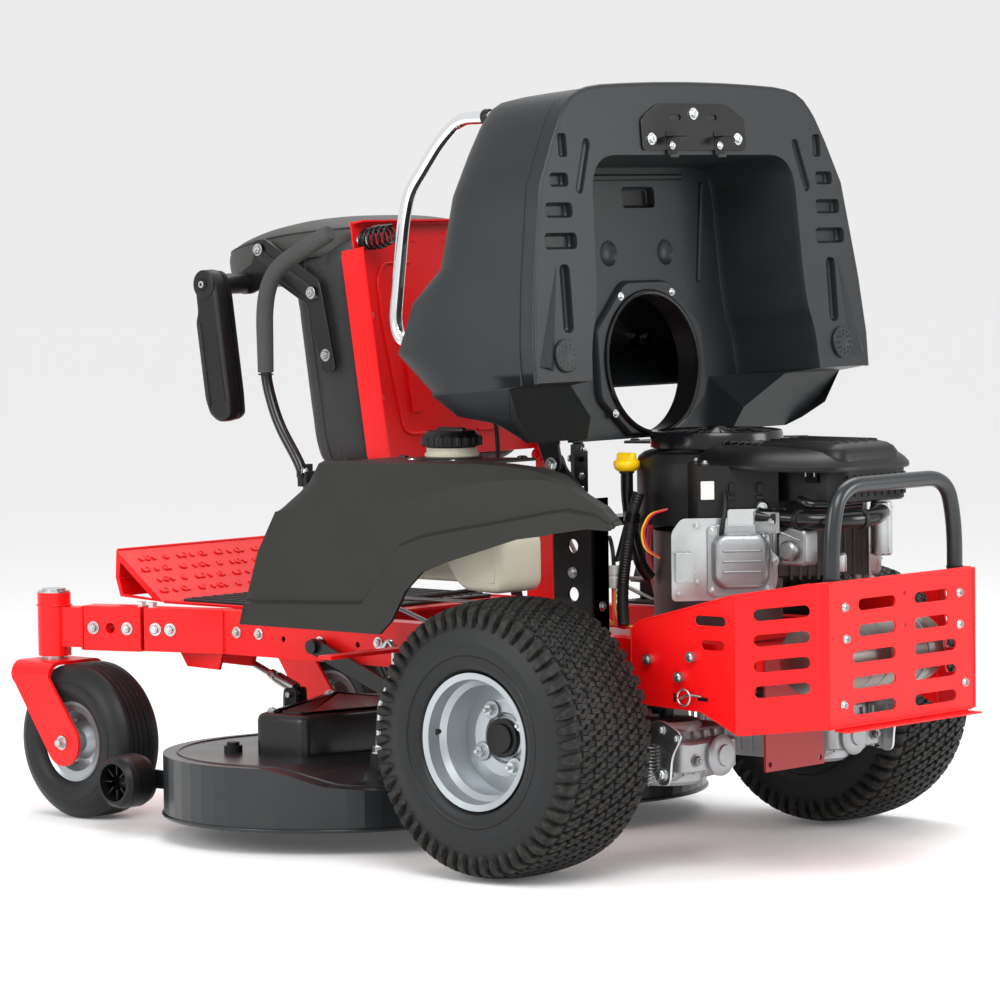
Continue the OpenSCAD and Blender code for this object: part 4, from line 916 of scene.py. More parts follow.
def seat():
    """Cushion, backrest, side brackets, springs, pan details, switch and lead."""
    cushion = (-410, 2, -208, 208, 4, 158)
    back = (-442, -348, -212, 212, 14, 372)
    power = 7.5

    def back_shape(x, y, z):
        lift = (z - 170) / 160
        rise = math.sin(math.pi * max(0, min(1, (z - 14) / 358)))
        return x - 10 * rise - 3 * (1 - (y / 212) ** 2), y * (1 - 0.07 * max(0, lift) ** 2), z

    def cushion_shape(x, y, z):
        # the rear corners are drawn in, to clear the hood's hinges
        return x, y * (1 - 0.08 * float(smooth(-370, -405, x))) if x < -370 else y, z
    seat_block("seat_cushion_filled", "seat", "seat_cushion", cushion, [VINYL], power, 5.5,
               lambda q: q[2] < 13 or abs(q[2] - 112) < 3.2 or abs(abs(q[1]) - 118) < 2.8 and q[2] > 112, 4.0,
               0.022, cushion_shape)
    seat_block("seat_back_filled", "seat", "seat_back", back, [VINYL_BACK], 3.4, 5.0,
               lambda q: abs(q[0] + 424) < 3.0 or abs(q[0] + 374) < 3.0, 4.0, 0.022, back_shape)
    p = Piece()
    for where in (13, 112):
        stitch(p, seam_loop(cushion, power, 2, where), lambda x, y, z: seat_pt(*cushion_shape(x, y, z)),
               VINYL)
    for where in (-418, -374):
        stitch(p, seam_loop(back, 3.4, 0, where), lambda x, y, z: seat_pt(*back_shape(x, y, z)), VINYL)
    p.make("seat_welts", "seat", "vinyl", angle=60)

    # brackets at the side of the seat
    b = Piece()
    arm = round_corners([(-174, 46), (-174, 78), (-296, 95), (-350, 168), (-336, 226), (-340, 256),
                         (-374, 256), (-392, 212), (-428, 206), (-426, 178), (-334, 60), (-310, 56)], 9)
    for s in SIDES:
        puck(b, arm, [(223, 1.0), (224, 0), (228, 0), (229, 1.0)], seat_side(s), BLACK)
        ridge = round_corners([(-300, 62), (-300, 88), (-352, 160), (-396, 200), (-412, 190), (-330, 78)], 8)
        puck(b, ridge, [(228, 0), (232, 2), (233, 5)], seat_side(s), BLACK)
        for x, z in ((-204, 65), (-315, 77), (-409, 192)):
            b.bolt(seat_pt(x, s * (233 if x < -250 else 229), z), (0, s, 0), 8)
        b.lathe([(0, 0), (18, 0), (18, 40), (16, 56), (0, 57)], seat_pt(-357, s * 229, 238), (0, s, 0),
                PLASTIC, 40)
        b.lathe([(0, 0), (6, 0), (6, 52), (0, 52)], seat_pt(-357, s * 286, 238), (0, s, 0), ZINC, 20)
    b.make("seat_brackets_pressed", "seat", "black", ["seat_brackets"], bevel=0.4)

    # coil springs, pan embossing and fixings
    c = Piece()
    for s in SIDES:
        turns, top = 5.6, -5
        path = []
        for i in range(int(turns * 28)):
            a = i * math.tau / 28
            t = i / (turns * 28)
            wide = 17 - 1.5 * math.cos(t * math.tau)
            path.append(seat_pt(-392 + wide * math.cos(a), s * 172 + wide * math.sin(a), top - 2 - 66 * t))
        c.tube(path, 2.7, GLOSSY, 12)
        c.lathe([(0, 0), (13, 0), (13, 3), (10, 5), (0, 5)], seat_pt(-392, s * 172, -0.5), seat_dir(0, 0, -1),
                ZINC, 28)
    c.make("seat_coil_springs", "seat", "black", ["seat_springs"], angle=60)
    d = Piece()
    for s in SIDES:
        path = [(-352, s * 60, -0.4), (-352, s * 128, -0.4), (-322, s * 146, -0.4), (-250, s * 146, -0.4),
                (-60, s * 128, -0.4), (-52, s * 112, -0.4), (-52, s * 60, -0.4)]
        d.tube([seat_pt(*q) for q in bent(path, 14, 6)], 3.0, RED, 12)
        d.bolt(seat_pt(-262, s * 178, -0.2), seat_dir(0, 0, -1), 8)
        d.bolt(seat_pt(-118, s * 178, -0.2), seat_dir(0, 0, -1), 7)
        for k in range(3):
            arch = [(-405 + 16 * math.cos(t) * (1 - 0.14 * k), s * (95 - 17 * k) + 5 * math.sin(t), -0.6)
                    for t in [math.pi * (j / 8 - 0.5) for j in range(9)]]
            d.tube([seat_pt(*q) for q in arch], 1.8, RED, 10)
        for x in (-396, -210):
            d.lathe([(0, 0), (9, 0), (8, 1.4), (0, 1.6)], seat_pt(x, s * 40, 0), seat_dir(0, 0, -1), RED, 24)
        # folded edge along the side, with its returned lip
        edge = [(-372, 5), (-372, -46), (-20, -46), (-14, -40), (-14, 5)]
        puck(d, round_corners(edge, 7, 4), [(217.9, 0.2), (221.4, 0.2)], seat_side(s), RED)
    d.tube([seat_pt(-422.5, y, -1) for y in np.linspace(-188, 188, 30)], 3.4, RED, 12)
    d.make("seat_pan_pressing", "seat", "red", bevel=0.4)
    e = Piece()
    puck(e, round_rect(-170, -40, 64, 54, 10), [(-23.6, 3), (-21, 0.5), (-3, 0), (-0.4, 0)], lambda x, y,
         q: seat_pt(x, y, q), PLASTIC)
    e.lathe([(0, 0), (11, 0), (11, 7), (9, 10.5), (0, 11)], seat_pt(-170, -40, -23.4), seat_dir(0, 0, -1),
            GLOSSY, 32)
    e.make("seat_switch_body", "seat", "plastic", ["seat_switch"], bevel=0.5)
    w = Piece()
    lead = [(490, -40, 798), (462, -38, 770), (440, -32, 690), (432, -26, 600), (428, -22, 500),
            (426, -20, 420), (640, -20, 390)]
    w.tube(bent(lead, 30, 10), 4, RUBBER, 16)
    lead_piece = w.make("seat_lead_smooth", "frame", "rubber", ["seat_lead"], angle=60)
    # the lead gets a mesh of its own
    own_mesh(lead_piece)


def seat_dir(x, y, z):
    """A direction of the seat's own frame."""
    return (Vector(seat_pt(x, y, z)) - Vector(seat_pt(0, 0, 0))).normalized()


def armrest(s):
    """A moulded armrest with its pivot."""
    p = Piece()
    place = seat_side(s)
    body = round_corners([(-384, 238), (-378, 256), (-357, 265), (-312, 266), (-296, 274), (-160, 275),
                          (-132, 268), (-116, 250), (-116, 228), (-124, 214), (-160, 211), (-330, 209),
                          (-357, 211), (-378, 220)], 8, 4)
    puck(p, body, [(302, 3), (304, 0.8), (309, 0), (322, 0.4), (327, 2.2), (329.6, 6), (330.2, 10)], place,
         PLASTIC)
    puck(p, inset(body, 3.4), [(298.8, 0), (302.4, 0)], place, GLOSSY)
    puck(p, inset(body, 2.0), [(287, 6), (288.5, 2.5), (292, 0.4), (299, 0)], place, PLASTIC)
    puck(p, bar_loop((-290, 262), (-148, 262), 9), [(328, 0), (331.4, 1.2), (332.6, 3.2)], place, PLASTIC)
    puck(p, bar_loop((-268, 226), (-150, 222), 5), [(328, 0), (331, 0.8), (332, 2)], place, PLASTIC)
    p.lathe([(0, 0), (25, 0), (25, 1.6), (22, 2.6), (11, 2.6), (10, 1.2), (0, 1.2)], place(-357, 238, 329.8),
            (0, s, 0), PLASTIC, 48)
    p.bolt(place(-357, 238, 331), (0, s, 0), 6.5, GLOSSY)
    p.make("armrest_%s_moulded" % SIDE_NAME[s], "armrest_" + SIDE_NAME[s], "plastic",
           ["armrest_" + SIDE_NAME[s]], bevel=0.3, angle=40)


seat()
for side in SIDES:
    armrest(side)


# ---- control levers -------------------------------------------------------------------
LEVER_X, LEVER_Y, LEVER_Z, SWING_Z = 538, 349, 560, 625


def lever(s):
    """A steering lever with its foam grip, and the bolts of its base."""
    p = Piece()
    tube = [(LEVER_X - 4, 360, SWING_Z + 4), (LEVER_X - 4, 360, SWING_Z + 20), (590, 360, 720),
            (616, 360, 790), (617, 360, 830)]
    p.tube([(x, s * y, z) for x, y, z in bent(tube, 34, 9)], 9.5, GLOSSY, 28)
    grip = [(617, 360, 806), (618, 360, 930), (590, 360, 985), (458, 360, 1044)]
    path = [(x, s * y, z) for x, y, z in bent(grip, 46, 12)]
    last = Vector(path[-1]) + (Vector(path[-1]) - Vector(path[-2])).normalized() * -6
    path = path[:-1] + [tuple(last), path[-1]]
    radii = [14.6] * (len(path) - 1) + [11.5]
    radii[0] = 13.6
    p.tube(path, radii, FOAM, 32)
    p.lathe([(0, 0), (12.4, 0), (13.6, 2.2), (9.6, 3.0), (0, 3.0)], (617, s * 360, 804), (0, 0, -1), PLASTIC, 28)
    p.box(LEVER_X - 9.6, LEVER_X + 2, *span(s * (LEVER_Y - 10), s * (LEVER_Y + 16)), SWING_Z - 12,
          SWING_Z + 26, GLOSSY)
    p.bolt((LEVER_X - 9.6, s * 360, SWING_Z + 14), (-1, 0, 0), 6)
    p.make("lever_%s_gripped" % SIDE_NAME[s], "lever_" + SIDE_NAME[s], "black", ["lever_" + SIDE_NAME[s]],
           bevel=0.5, angle=40)
    q = Piece()
    for x, z, r in ((LEVER_X - 18, LEVER_Z + 10, 5.5), (LEVER_X - 18, LEVER_Z + 34, 5.5)):
        q.bolt((x, s * 345, z), (-1, 0, 0), r)
    q.lathe([(0, 0), (7.5, 0), (7.5, 4), (0, 4.6)], (LEVER_X + 8, s * LEVER_Y, SWING_Z), (1, 0, 0), ZINC, 20)
    q.make("lever_base_bolts_" + SIDE_NAME[s], "lever_base_" + SIDE_NAME[s], "zinc")


for side in SIDES:
    lever(side)


# ---- fenders, tank and the parts on them ----------------------------------------------
FENDER_LINES = (  # top, upper crease, lower crease and bottom edge, front to back
    ((531, 432), (531, 431), (527, 430), (540, 389)), ((502, 513), (502, 512), (480, 432), (480, 389)),
    ((460, 582), (459, 581), (440, 434), (440, 389)), ((404, 635), (410, 585.5), (370, 437), (370, 389)),
    ((382, 666), (349, 591), (310, 439), (290, 389)), ((290, 668), (280, 592), (259, 441), (215, 389)),
    ((200, 670), (213, 593), (215, 490), (187, 413)), ((150, 671), (123, 617), (171, 539), (155, 463)),
    ((90, 673), (90, 626), (120, 556), (118, 495)), ((33, 675), (57, 635), (60, 567), (70, 512)),
    ((-30, 673), (-30, 646), (-30, 582), (-30, 540)), ((-97, 668), (-90, 651), (-95, 593), (-87, 556)),
    ((-153, 657), (-150, 651), (-150, 603), (-140, 563)),
    ((-200, 640), (-198, 638), (-192, 609), (-173, 569)),
    ((-262, 614), (-261, 611), (-252, 602), (-236, 578)),
    ((-291, 588), (-290, 586), (-288, 583), (-282, 577)))


def fender(s):
    """A side fender: outer wall from its lines, shelf with its holes, inner skirt."""
    p = Piece()
    stations = []
    last = len(FENDER_LINES) - 1 if s > 0 else 8  # the right-hand one ends ahead of the engine
    for i in range(last):
        a, b = FENDER_LINES[i], FENDER_LINES[i + 1]
        for k in range(3):
            t = k / 3
            stations.append([(m[0] + (n[0] - m[0]) * t, m[1] + (n[1] - m[1]) * t) for m, n in zip(a, b)])
    stations.append(list(FENDER_LINES[last]))
    rows = []
    for top, upper, lower, low in stations:
        tx, tz = top
        slope = min(1.0, (tz - upper[1]) / 40)
        narrow = float(smooth(-110, -240, tx)) * (1 - slope)
        row = [(tx, 446 + 40 * narrow, tz - 1), (tx, 462 + 26 * narrow, tz)]
        # the upper band leans out, the wall stands, and the flared band steps out over the wheel
        start, up = (tx, 470 + 18 * (1 - slope), tz - 1.5), (upper[0], 501.0, upper[1])
        row += [(tx, start[1] + 4, tz - 3 * slope - 0.8)]
        for t in (0.12, 0.5, 0.9, 1.0):
            row.append((tx + (up[0] - tx) * t, start[1] + 4 + (up[1] - start[1] - 4) * t,
                        row[2][2] + (up[2] - row[2][2]) * t))
        wall_end = (lower[0], 502.5, lower[1])
        for t in (0.04, 0.5, 0.97, 1.0):
            row.append((up[0] + (wall_end[0] - up[0]) * t, up[1] + 0.6 + (wall_end[1] - up[1] - 0.6) * t,
                        up[2] + (wall_end[2] - up[2]) * t))
        drop = max(1.0, min(6.0, (lower[1] - low[1]) * 0.3))
        dx, dz = low[0] - lower[0], low[1] - lower[1]
        long = max(1.0, math.hypot(dx, dz))
        flare = (lower[0] + dx / long * drop, 509.6, lower[1] + dz / long * drop)
        for t in (0, 0.05, 0.5, 0.95, 1):
            row.append((flare[0] + (low[0] - flare[0]) * t, 509.8, flare[2] + (low[1] - flare[2]) * t))
        row += [(low[0], 503.5, low[1] + 0.5), (low[0], 500.0, low[1] + 5)]
        rows.append([(x, s * y, z) for x, y, z in row])
    p.grid(rows, FENDER)
    p.make("fender_%s_moulded" % SIDE_NAME[s], "frame", "fender", ["fenders"] if s > 0 else (), solid=3.0,
           angle=14)
    q = Piece()
    place = lambda x, y, d: (x, s * y, d)
    shelf = round_corners([(62, 286), (372, 286), (372, 450), (62, 450)], 12)
    cap = ring(*CAP_AT, 47, 64)
    holes = [cap] if s > 0 else [ring(*KEY_AT, 7.5, 24), ring(*KNOB_AT, 7.5, 24),
                                 round_rect(*THROTTLE_AT, 82, 11, 3)]
    top = lambda x: 671.5 - (x - 62) * 0.0225
    sheet_with_holes(q, inset(shelf, 2), holes, lambda x, y: (x, s * y, top(x)), FENDER)
    sheet_with_holes(q, shelf, holes, lambda x, y: (x, s * y, top(x) - 5), FENDER)
    q.grid([[(x, s * y, top(x) - dz) for x, y in inset(shelf, i)] for dz, i in ((5, 0), (1.2, 0), (0, 2))],
           FENDER, closed=True)
    if s > 0:
        q.lathe([(43, -4), (56, -4), (56, 2), (52, 4), (47, 4), (43, 3)], (*CAP_AT, top(CAP_AT[0])),
                (0, 0, 1), PLASTIC, 64)
        for a in (45, 135, 225, 315):
            c = (CAP_AT[0] + 66 * math.cos(math.radians(a)), CAP_AT[1] + 66 * math.sin(math.radians(a)),
                 top(CAP_AT[0]) - 0.4)
            if c[1] < 440:
                q.lathe([(0, 0), (6.5, 0), (5.5, 2.4), (0, 3)], c, (0, 0, 1), ZINC, 24)
    else:
        q.lathe([(8, 0), (16, 0), (16, 2), (13, 4), (8, 4)], (KEY_AT[0], -KEY_AT[1], top(KEY_AT[0])),
                (0, 0, 1), PLASTIC, 40)
        q.lathe([(7, 0), (19, 0), (19, 1.5), (16, 3), (7, 3)], (KNOB_AT[0], -KNOB_AT[1], top(KNOB_AT[0])),
                (0, 0, 1), PLASTIC, 40)
        for y in (331, 361):
            puck(q, round_rect(222, y, 96, 8, 3), [(top(222) - 0.5, 0), (top(222) + 1.4, 0.8)], lambda x, y,
                 d: (x, -y, d), PLASTIC)
    for x in (84, 352):
        q.lathe([(0, 0), (9, 0), (8, 3), (4, 4), (0, 4)], (x, s * 300, top(x)), (0, 0, 1), GLOSSY, 24)
    q.make("fender_shelf_" + SIDE_NAME[s], "frame", "fender", bevel=0.4)
    # the inner skirt that joins the shelf and the outer wall
    r = Piece()
    r.grid([[(x, s * 450, z) for x in (62, 150, 260, 372)] for z in (668, 640)], FENDER)
    r.make("fender_skirt_" + SIDE_NAME[s], "frame", "fender", solid=2.5)


def tank():
    """The fuel tank and its ribbed cap."""
    p = Piece()
    place = side_view(1)
    body = round_corners([(100, 652), (290, 652), (290, 486), (262, 470), (100, 470)], 16, 6)
    puck(p, body, [(300, 12), (303, 5), (310, 0), (386, 0), (393, 4), (396, 12)], place, TANK)
    low = round_corners([(4, 560), (140, 560), (140, 520), (104, 462), (4, 458)], 26, 8)
    puck(p, low, [(340, 10), (343, 4), (350, 0), (430, 0), (437, 4), (440, 10)], place, TANK)
    puck(p, inset(low, 16), [(439, 0), (441.5, 1.5)], place, TANK)
    for z in (520, 570, 620):
        puck(p, round_rect(196, z, 150, 7, 3), [(395, 0), (397.2, 1.2)], place, TANK)
    p.lathe([(42, -20), (43, 12), (43, 20), (45, 22), (45, 26), (42, 28), (42, 36), (0, 36)], (*CAP_AT, 652),
            (0, 0, 1), TANK, 64)
    p.lathe([(0, 0), (11, 0), (11, 5), (7, 8), (7, 16), (0, 16)], (40, 380, 530), (0, 0, 1), RUBBER, 28)
    p.tube(bent([(40, 380, 545), (40, 380, 560), (20, 330, 566), (-20, 260, 560), (-60, 240, 560)], 20, 6), 5,
           RUBBER, 14)
    p.make("fuel_tank_moulded", "frame", "tank", ["fuel_tank"], bevel=0.6, angle=40)
    c = Piece()
    n = 120
    rows = []
    for z, r, rib in ((690, 44, 0), (690.5, 46.5, 1), (692, 48.5, 1), (705, 48.5, 1), (708, 46.5, 0.4),
                      (710, 44, 0), (715, 41, 0), (716, 38, 0), (714.5, 34, 0), (714, 20, 0)):
        reach = [r + rib * (2.4 if k % 6 < 3 else 0) for k in range(n)]
        rows.append([(CAP_AT[0] + q * math.cos(a), CAP_AT[1] + q * math.sin(a), z)
                     for q, a in zip(reach, angles(n))])
    c.grid(rows, PLASTIC, closed=True, caps=True)
    puck(c, bar_loop((174, 345), (226, 345), 12), [(712, 0), (719, 1.5), (721, 4)], flat, PLASTIC)
    c.make("fuel_cap_ribbed", "fuel_cap", "plastic", ["fuel_cap"], bevel=0.3)


for side in SIDES:
    fender(side)
tank()


# ---- engine ------------------------------------------------------------------------------
ENGINE = (-58, -30)
CYL_A = 137.7


def cyl_frame(s):
    """Engine axes turned so that +X points out along one of its two cylinders."""
    return Matrix.Translation((ENGINE[0], ENGINE[1], 0)) @ Matrix.Rotation(math.radians(s * CYL_A), 4, "Z")


def engine():
    """Rocker covers, shroud, screen, air cleaner, hoses, carburettor and dipstick."""
    p = Piece()
    for s in (1, -1):
        f = cyl_frame(s)
        out = f.to_3x3() @ Vector((1, 0, 0))
        place = lambda y, z, d: tuple(f @ Vector((d, y, z)))
        puck(p, round_rect(0, 505, 108, 116, 12), [(248, 1), (249, 0), (252, 0), (253, 1)], place, ALU)
        puck(p, round_corners([(-32, 460), (32, 460), (46, 474), (46, 536), (32, 550), (-32, 550), (-46, 536),
                               (-46, 474)], 9), [(253, -2), (256, 0), (266, 1.5), (270, 5), (271.5, 10)],
                               place, ALU)
        for z in (488, 505, 522):
            puck(p, bar_loop((-30, z), (30, z), 4.4), [(270, 0), (273.4, 0.6), (274.4, 1.6)], place, ALU)
        for i, j in ((1, 1), (1, -1), (-1, 1), (-1, -1)):
            p.bolt(place(i * 45, 505 + j * 49, 253), out, 5.6)
        p.lathe([(0, 0), (7, 0), (7, 10), (5, 12), (5, 26), (0, 26)], place(0, 466, 236), (0, 0, -1), WHITE, 20)
    p.make("rocker_covers_cast", "frame", "alu", ["rocker_covers"], bevel=0.5, angle=38)

    # louvres, bosses and screws of the shroud
    q = Piece()
    cx, cy = ENGINE
    for s in (1, -1):
        f = cyl_frame(s)
        out = f.to_3x3() @ Vector((1, 0, 0))
        for x, y in ((120, 52), (220, 52), (120, -52), (220, -52)):
            c = f @ Vector((x, y, 657))
            q.lathe([(0, 0), (9, 0), (8, 4), (0, 4)], c, (0, 0, 1), PLASTIC, 24)
            q.bolt(tuple(c + Vector((0, 0, 4))), (0, 0, 1), 5)
        # galvanised baffles round the cylinder's end, and a galvanised block on them
        end = lambda y, z, d: tuple(f @ Vector((d, y, z)))
        puck(q, round_corners([(-112, 440), (52, 440), (62, 470), (62, 574), (-96, 574), (-112, 552)], 8),
             [(244, 0), (246.4, 0)], end, ZINC)
        puck(q, round_corners([(-20, 556), (76, 556), (76, 588), (-20, 588)], 5), [(246, 0), (250, 0)], end, ZINC)
        for y, z in ((-70, 562), (-70, 470), (40, 566), (64, 570), (-100, 452)):
            q.bolt(end(y, z, 248), out, 4.6)
        puck(q, round_corners([(-108, 470), (-76, 470), (-76, 520), (-108, 520)], 5), [(246, 0), (262, 1)],
             end, ZINC)
        # clips, a boss and a blank sticker on the shroud's end
        for y in (-12, 34):
            puck(q, round_rect(y, 622, 10, 16, 3), [(238, 0), (246, 1)], end, PLASTIC)
            puck(q, round_rect(y, 606, 14, 7, 2), [(238, 0), (243, 1)], end, GLOSSY)
        q.lathe([(0, 0), (12, 0), (12, 6), (9, 8), (0, 8)], end(38, 590, 238), out, PLASTIC, 28)
        q.bolt(end(38, 590, 246), out, 6)
        puck(q, round_corners([(-62, 604), (-40, 604), (-40, 634), (-62, 634)], 1.5), [(240.4, 0), (241, 0)],
             end, WHITE)
    # one swept cover lies over the cylinder shrouds and runs back into the air cleaner
    sweep = round_corners([(-96, 84), (-246, 150), (-292, 142), (-376, 84), (-392, 40), (-392, -100),
                           (-376, -146), (-300, -204), (-250, -212), (-96, -146)], 34, 5)
    level = lambda x, y, d: (x, y, d + 0.03 * (x + 240))
    puck(q, sweep, [(652, 0), (655, -1.5), (660, -1), (668, 6), (676, 18), (682, 36), (685, 60)], level, PLASTIC)
    for k in range(6):
        puck(q, bar_loop((-150 - k * 13, 62 - k * 2), (-128 - k * 13, -16), 5),
             [(680, 0), (689, 0.6), (690, 1.6)], level, GLOSSY)
    q.lathe([(99, 668), (104, 673), (112, 673.5), (122, 670.5), (131, 664), (134.4, 655), (134.4, 600)],
            (cx, cy, 0), (0, 0, 1), PLASTIC, 96)
    q.make("shroud_louvres", "frame", "plastic", bevel=0.6)

    # rotating screen
    w = Piece()
    w.lathe([(103, 676), (111.3, 678), (111.3, 700), (109, 705), (105, 706), (101, 704), (103, 690)],
            (cx, cy, 0), (0, 0, 1), GLOSSY, 96)
    for k in range(24):
        a = k * math.tau / 24
        d = Vector((math.cos(a), math.sin(a), 0))
        w.tube([Vector((cx, cy, 705)) + d * 15, Vector((cx, cy, 706)) + d * 60,
                Vector((cx, cy, 701)) + d * 105], 1.7, GLOSSY, 8)
    for r in range(22, 104, 9):
        z = 707 - 0.0006 * r * r
        w.lathe([(r - 1.5, z - 2), (r, z + 1.4), (r + 1.5, z - 2)], (cx, cy, 0), (0, 0, 1), GLOSSY, 72)
    w.lathe([(0, 696), (17, 696), (17, 709), (14, 712), (8, 713.5), (0, 714)], (cx, cy, 0), (0, 0, 1), GLOSSY, 48)
    w.make("engine_screen_woven", "crank", "plastic", ["engine_screen"], angle=45)

    # air cleaner
    a = Piece()
    puck(a, round_rect(-280, -32, 222, 190, 30, 8), [(596, 4), (599, 0), (648, 0), (651, 2.5), (656, 2.5)],
         flat, PLASTIC)
    puck(a, round_rect(-280, -32, 212, 180, 32, 8), [(656, 0), (676, 3), (684, 9), (690, 20), (693, 34)],
         flat, PLASTIC)
    for k in range(5):
        puck(a, bar_loop((-352, -82 + k * 25), (-214, -82 + k * 25), 8), [(690, 0), (695, 1), (696.5, 2.6)],
             flat, PLASTIC)
    for y in (-128.5, 64.5):
        s = 1 if y > 0 else -1
        for x in (-336, -234):
            a.box(x - 12, x + 12, *span(y, y + s * 5), 630, 672, GLOSSY)
            a.tube([(x - 9, y + s * 7, 640), (x - 9, y + s * 8, 668), (x + 9, y + s * 8, 668),
                    (x + 9, y + s * 7, 640)], 1.6, ZINC, 10)
    for k in range(9):
        a.box(-392.6, -390.6, -110 + k * 18, -101 + k * 18, 606, 642, PLASTIC)
    a.make("air_cleaner_moulded", "frame", "plastic", ["air_cleaner"], bevel=0.8, angle=40)

    # hoses, canister, regulator and wiring
    h = Piece()
    intake = [(-262, 112, 578), (-274, 110, 575), (-360, 104, 572), (-400, 50, 570), (-400, -20, 572),
              (-382, -58, 576)]
    h.tube(bent(intake, 30, 10), 14, GLOSSY, 24)
    for c, d in (((-300, 108, 574), (1, -0.07, 0)), ((-400, 20, 570.5), (0, 1, 0)),
                 ((-340, 105.5, 572.6), (1, -0.07, 0))):
        h.lathe([(13.5, -5), (16, -5), (16.4, 0), (16, 5), (13.5, 5)], c, d, RUBBER, 32)
    h.tube(bent([(-330, 92, 604), (-352, 96, 596), (-372, 60, 594), (-374, -10, 596)], 16, 8), 8, GLOSSY, 20)
    h.tube(bent([(30, 100, 642), (30, 100, 600), (24, 96, 540), (18, 80, 480), (10, 66, 460)], 16, 8), 10.5,
           GLOSSY, 24)
    # carburettor, its linkage and the governor's springs
    puck(h, round_corners([(-352, 498), (-296, 498), (-296, 548), (-316, 562), (-352, 556)], 8),
         [(72, 2), (75, 0), (104, 0), (107, 3)], side_view(1), ALU)
    h.lathe([(0, 0), (17, 0), (17, 12), (13, 16), (0, 17)], (-325, 107, 522), (0, 1, 0), STEEL, 32)
    puck(h, round_corners([(-300, 496), (-262, 520), (-268, 552), (-284, 548), (-288, 522), (-306, 508)], 5),
         [(112, 0), (114.4, 0)], side_view(1), ZINC)
    for x, z in ((-296, 506), (-272, 528), (-276, 546)):
        h.bolt((x, 114.4, z), (0, 1, 0), 4.2)
    h.tube([(-276 + 0.9 * i, 118 + 4 * math.sin(i * 1.1), 536 + 4 * math.cos(i * 1.1)) for i in range(44)],
           0.9, ZINC, 6)
    h.tube(bent([(-350, 116, 540), (-300, 120, 556), (-262, 118, 548)], 10, 5), 1.6, ZINC, 10)
    h.lathe([(0, 0), (15, 0), (15, 26), (12, 30), (0, 31)], (-366, 40, 486), (0, 0, 1), ZINC, 36)
    for c, r, z0, z1 in (((-330, -125), 18, 500, 590), ((-300, 40), 16, 520, 560)):
        h.lathe([(0, z0), (r - 3, z0), (r, z0 + 3), (r, z1 - 14), (r + 1.6, z1 - 13), (r + 1.6, z1 - 10),
                 (r, z1 - 9), (r, z1 - 3), (r - 3, z1), (0, z1)], (*c, 0), (0, 0, 1), ZINC, 40)
    lead = [(-150, 92, 640), (-196, 128, 640), (-232, 158, 600), (-236, 176, 560), (-212, 150, 520)]
    h.tube(bent(lead, 30, 8), 4.2, RUBBER, 14)
    h.tube(bent([(-212, 150, 520), (-206, 140, 512), (-196, 130, 506)], 4, 3), 8, RUBBER, 16)
    # a ribbed conduit hangs from the shroud, with a clamp near its top
    drop = bent([(-10, 116, 606), (-4, 128, 570), (2, 138, 500), (4, 146, 440), (-4, 152, 386)], 30, 12)
    fine = []
    for u, v in zip(drop, drop[1:]):
        n = max(1, int((v - u).length / 2.4))
        fine += [u + (v - u) * (k / n) for k in range(n)]
    h.tube(fine, [9.4 + 0.8 * (i % 2) for i in range(len(fine))], RUBBER, 20)
    h.lathe([(10, -8), (13, -8), (13, 8), (10, 8)], (-4, 128, 566), (0.1, 0.15, -1), GLOSSY, 28)
    for k, m in enumerate((WIRE_R, WIRE_Y)):
        h.tube(bent([(-122, 176, 586), (-98 + 4 * k, 190, 578), (-88 + 5 * k, 198, 550),
                     (-96 + 5 * k, 200, 522), (-124, 200, 508)], 12, 8), 2.0, m, 10)
    # galvanised cover plate over the starter side
    plate = round_corners([(-312, 60), (-155, 60), (-155, 122), (-312, 122)], 8)
    puck(h, plate, [(551, 0), (553, 0)], flat, ZINC)
    h.grid([[(x, 122, z) for x in (-312, -155)] for z in (552, 584)], ZINC)
    for x in (-296, -234, -172):
        h.bolt((x, 123, 568), (0, 1, 0), 5)
    h.make("engine_plumbing", "frame", "alu", ["engine_pipes"], bevel=0.3, angle=45)

    d = Piece()
    d.lathe([(0, 640.4), (15, 640.4), (18, 642), (21, 646), (22, 650), (22, 656), (19, 659), (0, 660)],
            (30, 100, 0), (0, 0, 1), YELLOW, 48)
    puck(d, round_rect(30, 100, 38, 15, 6), [(659, 0), (668, 0.5), (671, 3)], flat, YELLOW)
    d.lathe([(0, 0), (12.6, 0), (12.6, 4), (0, 4)], (30, 100, 636.6), (0, 0, 1), PLASTIC, 32)
    d.make("dipstick_cap", "dipstick", "yellow", ["dipstick"], angle=45)


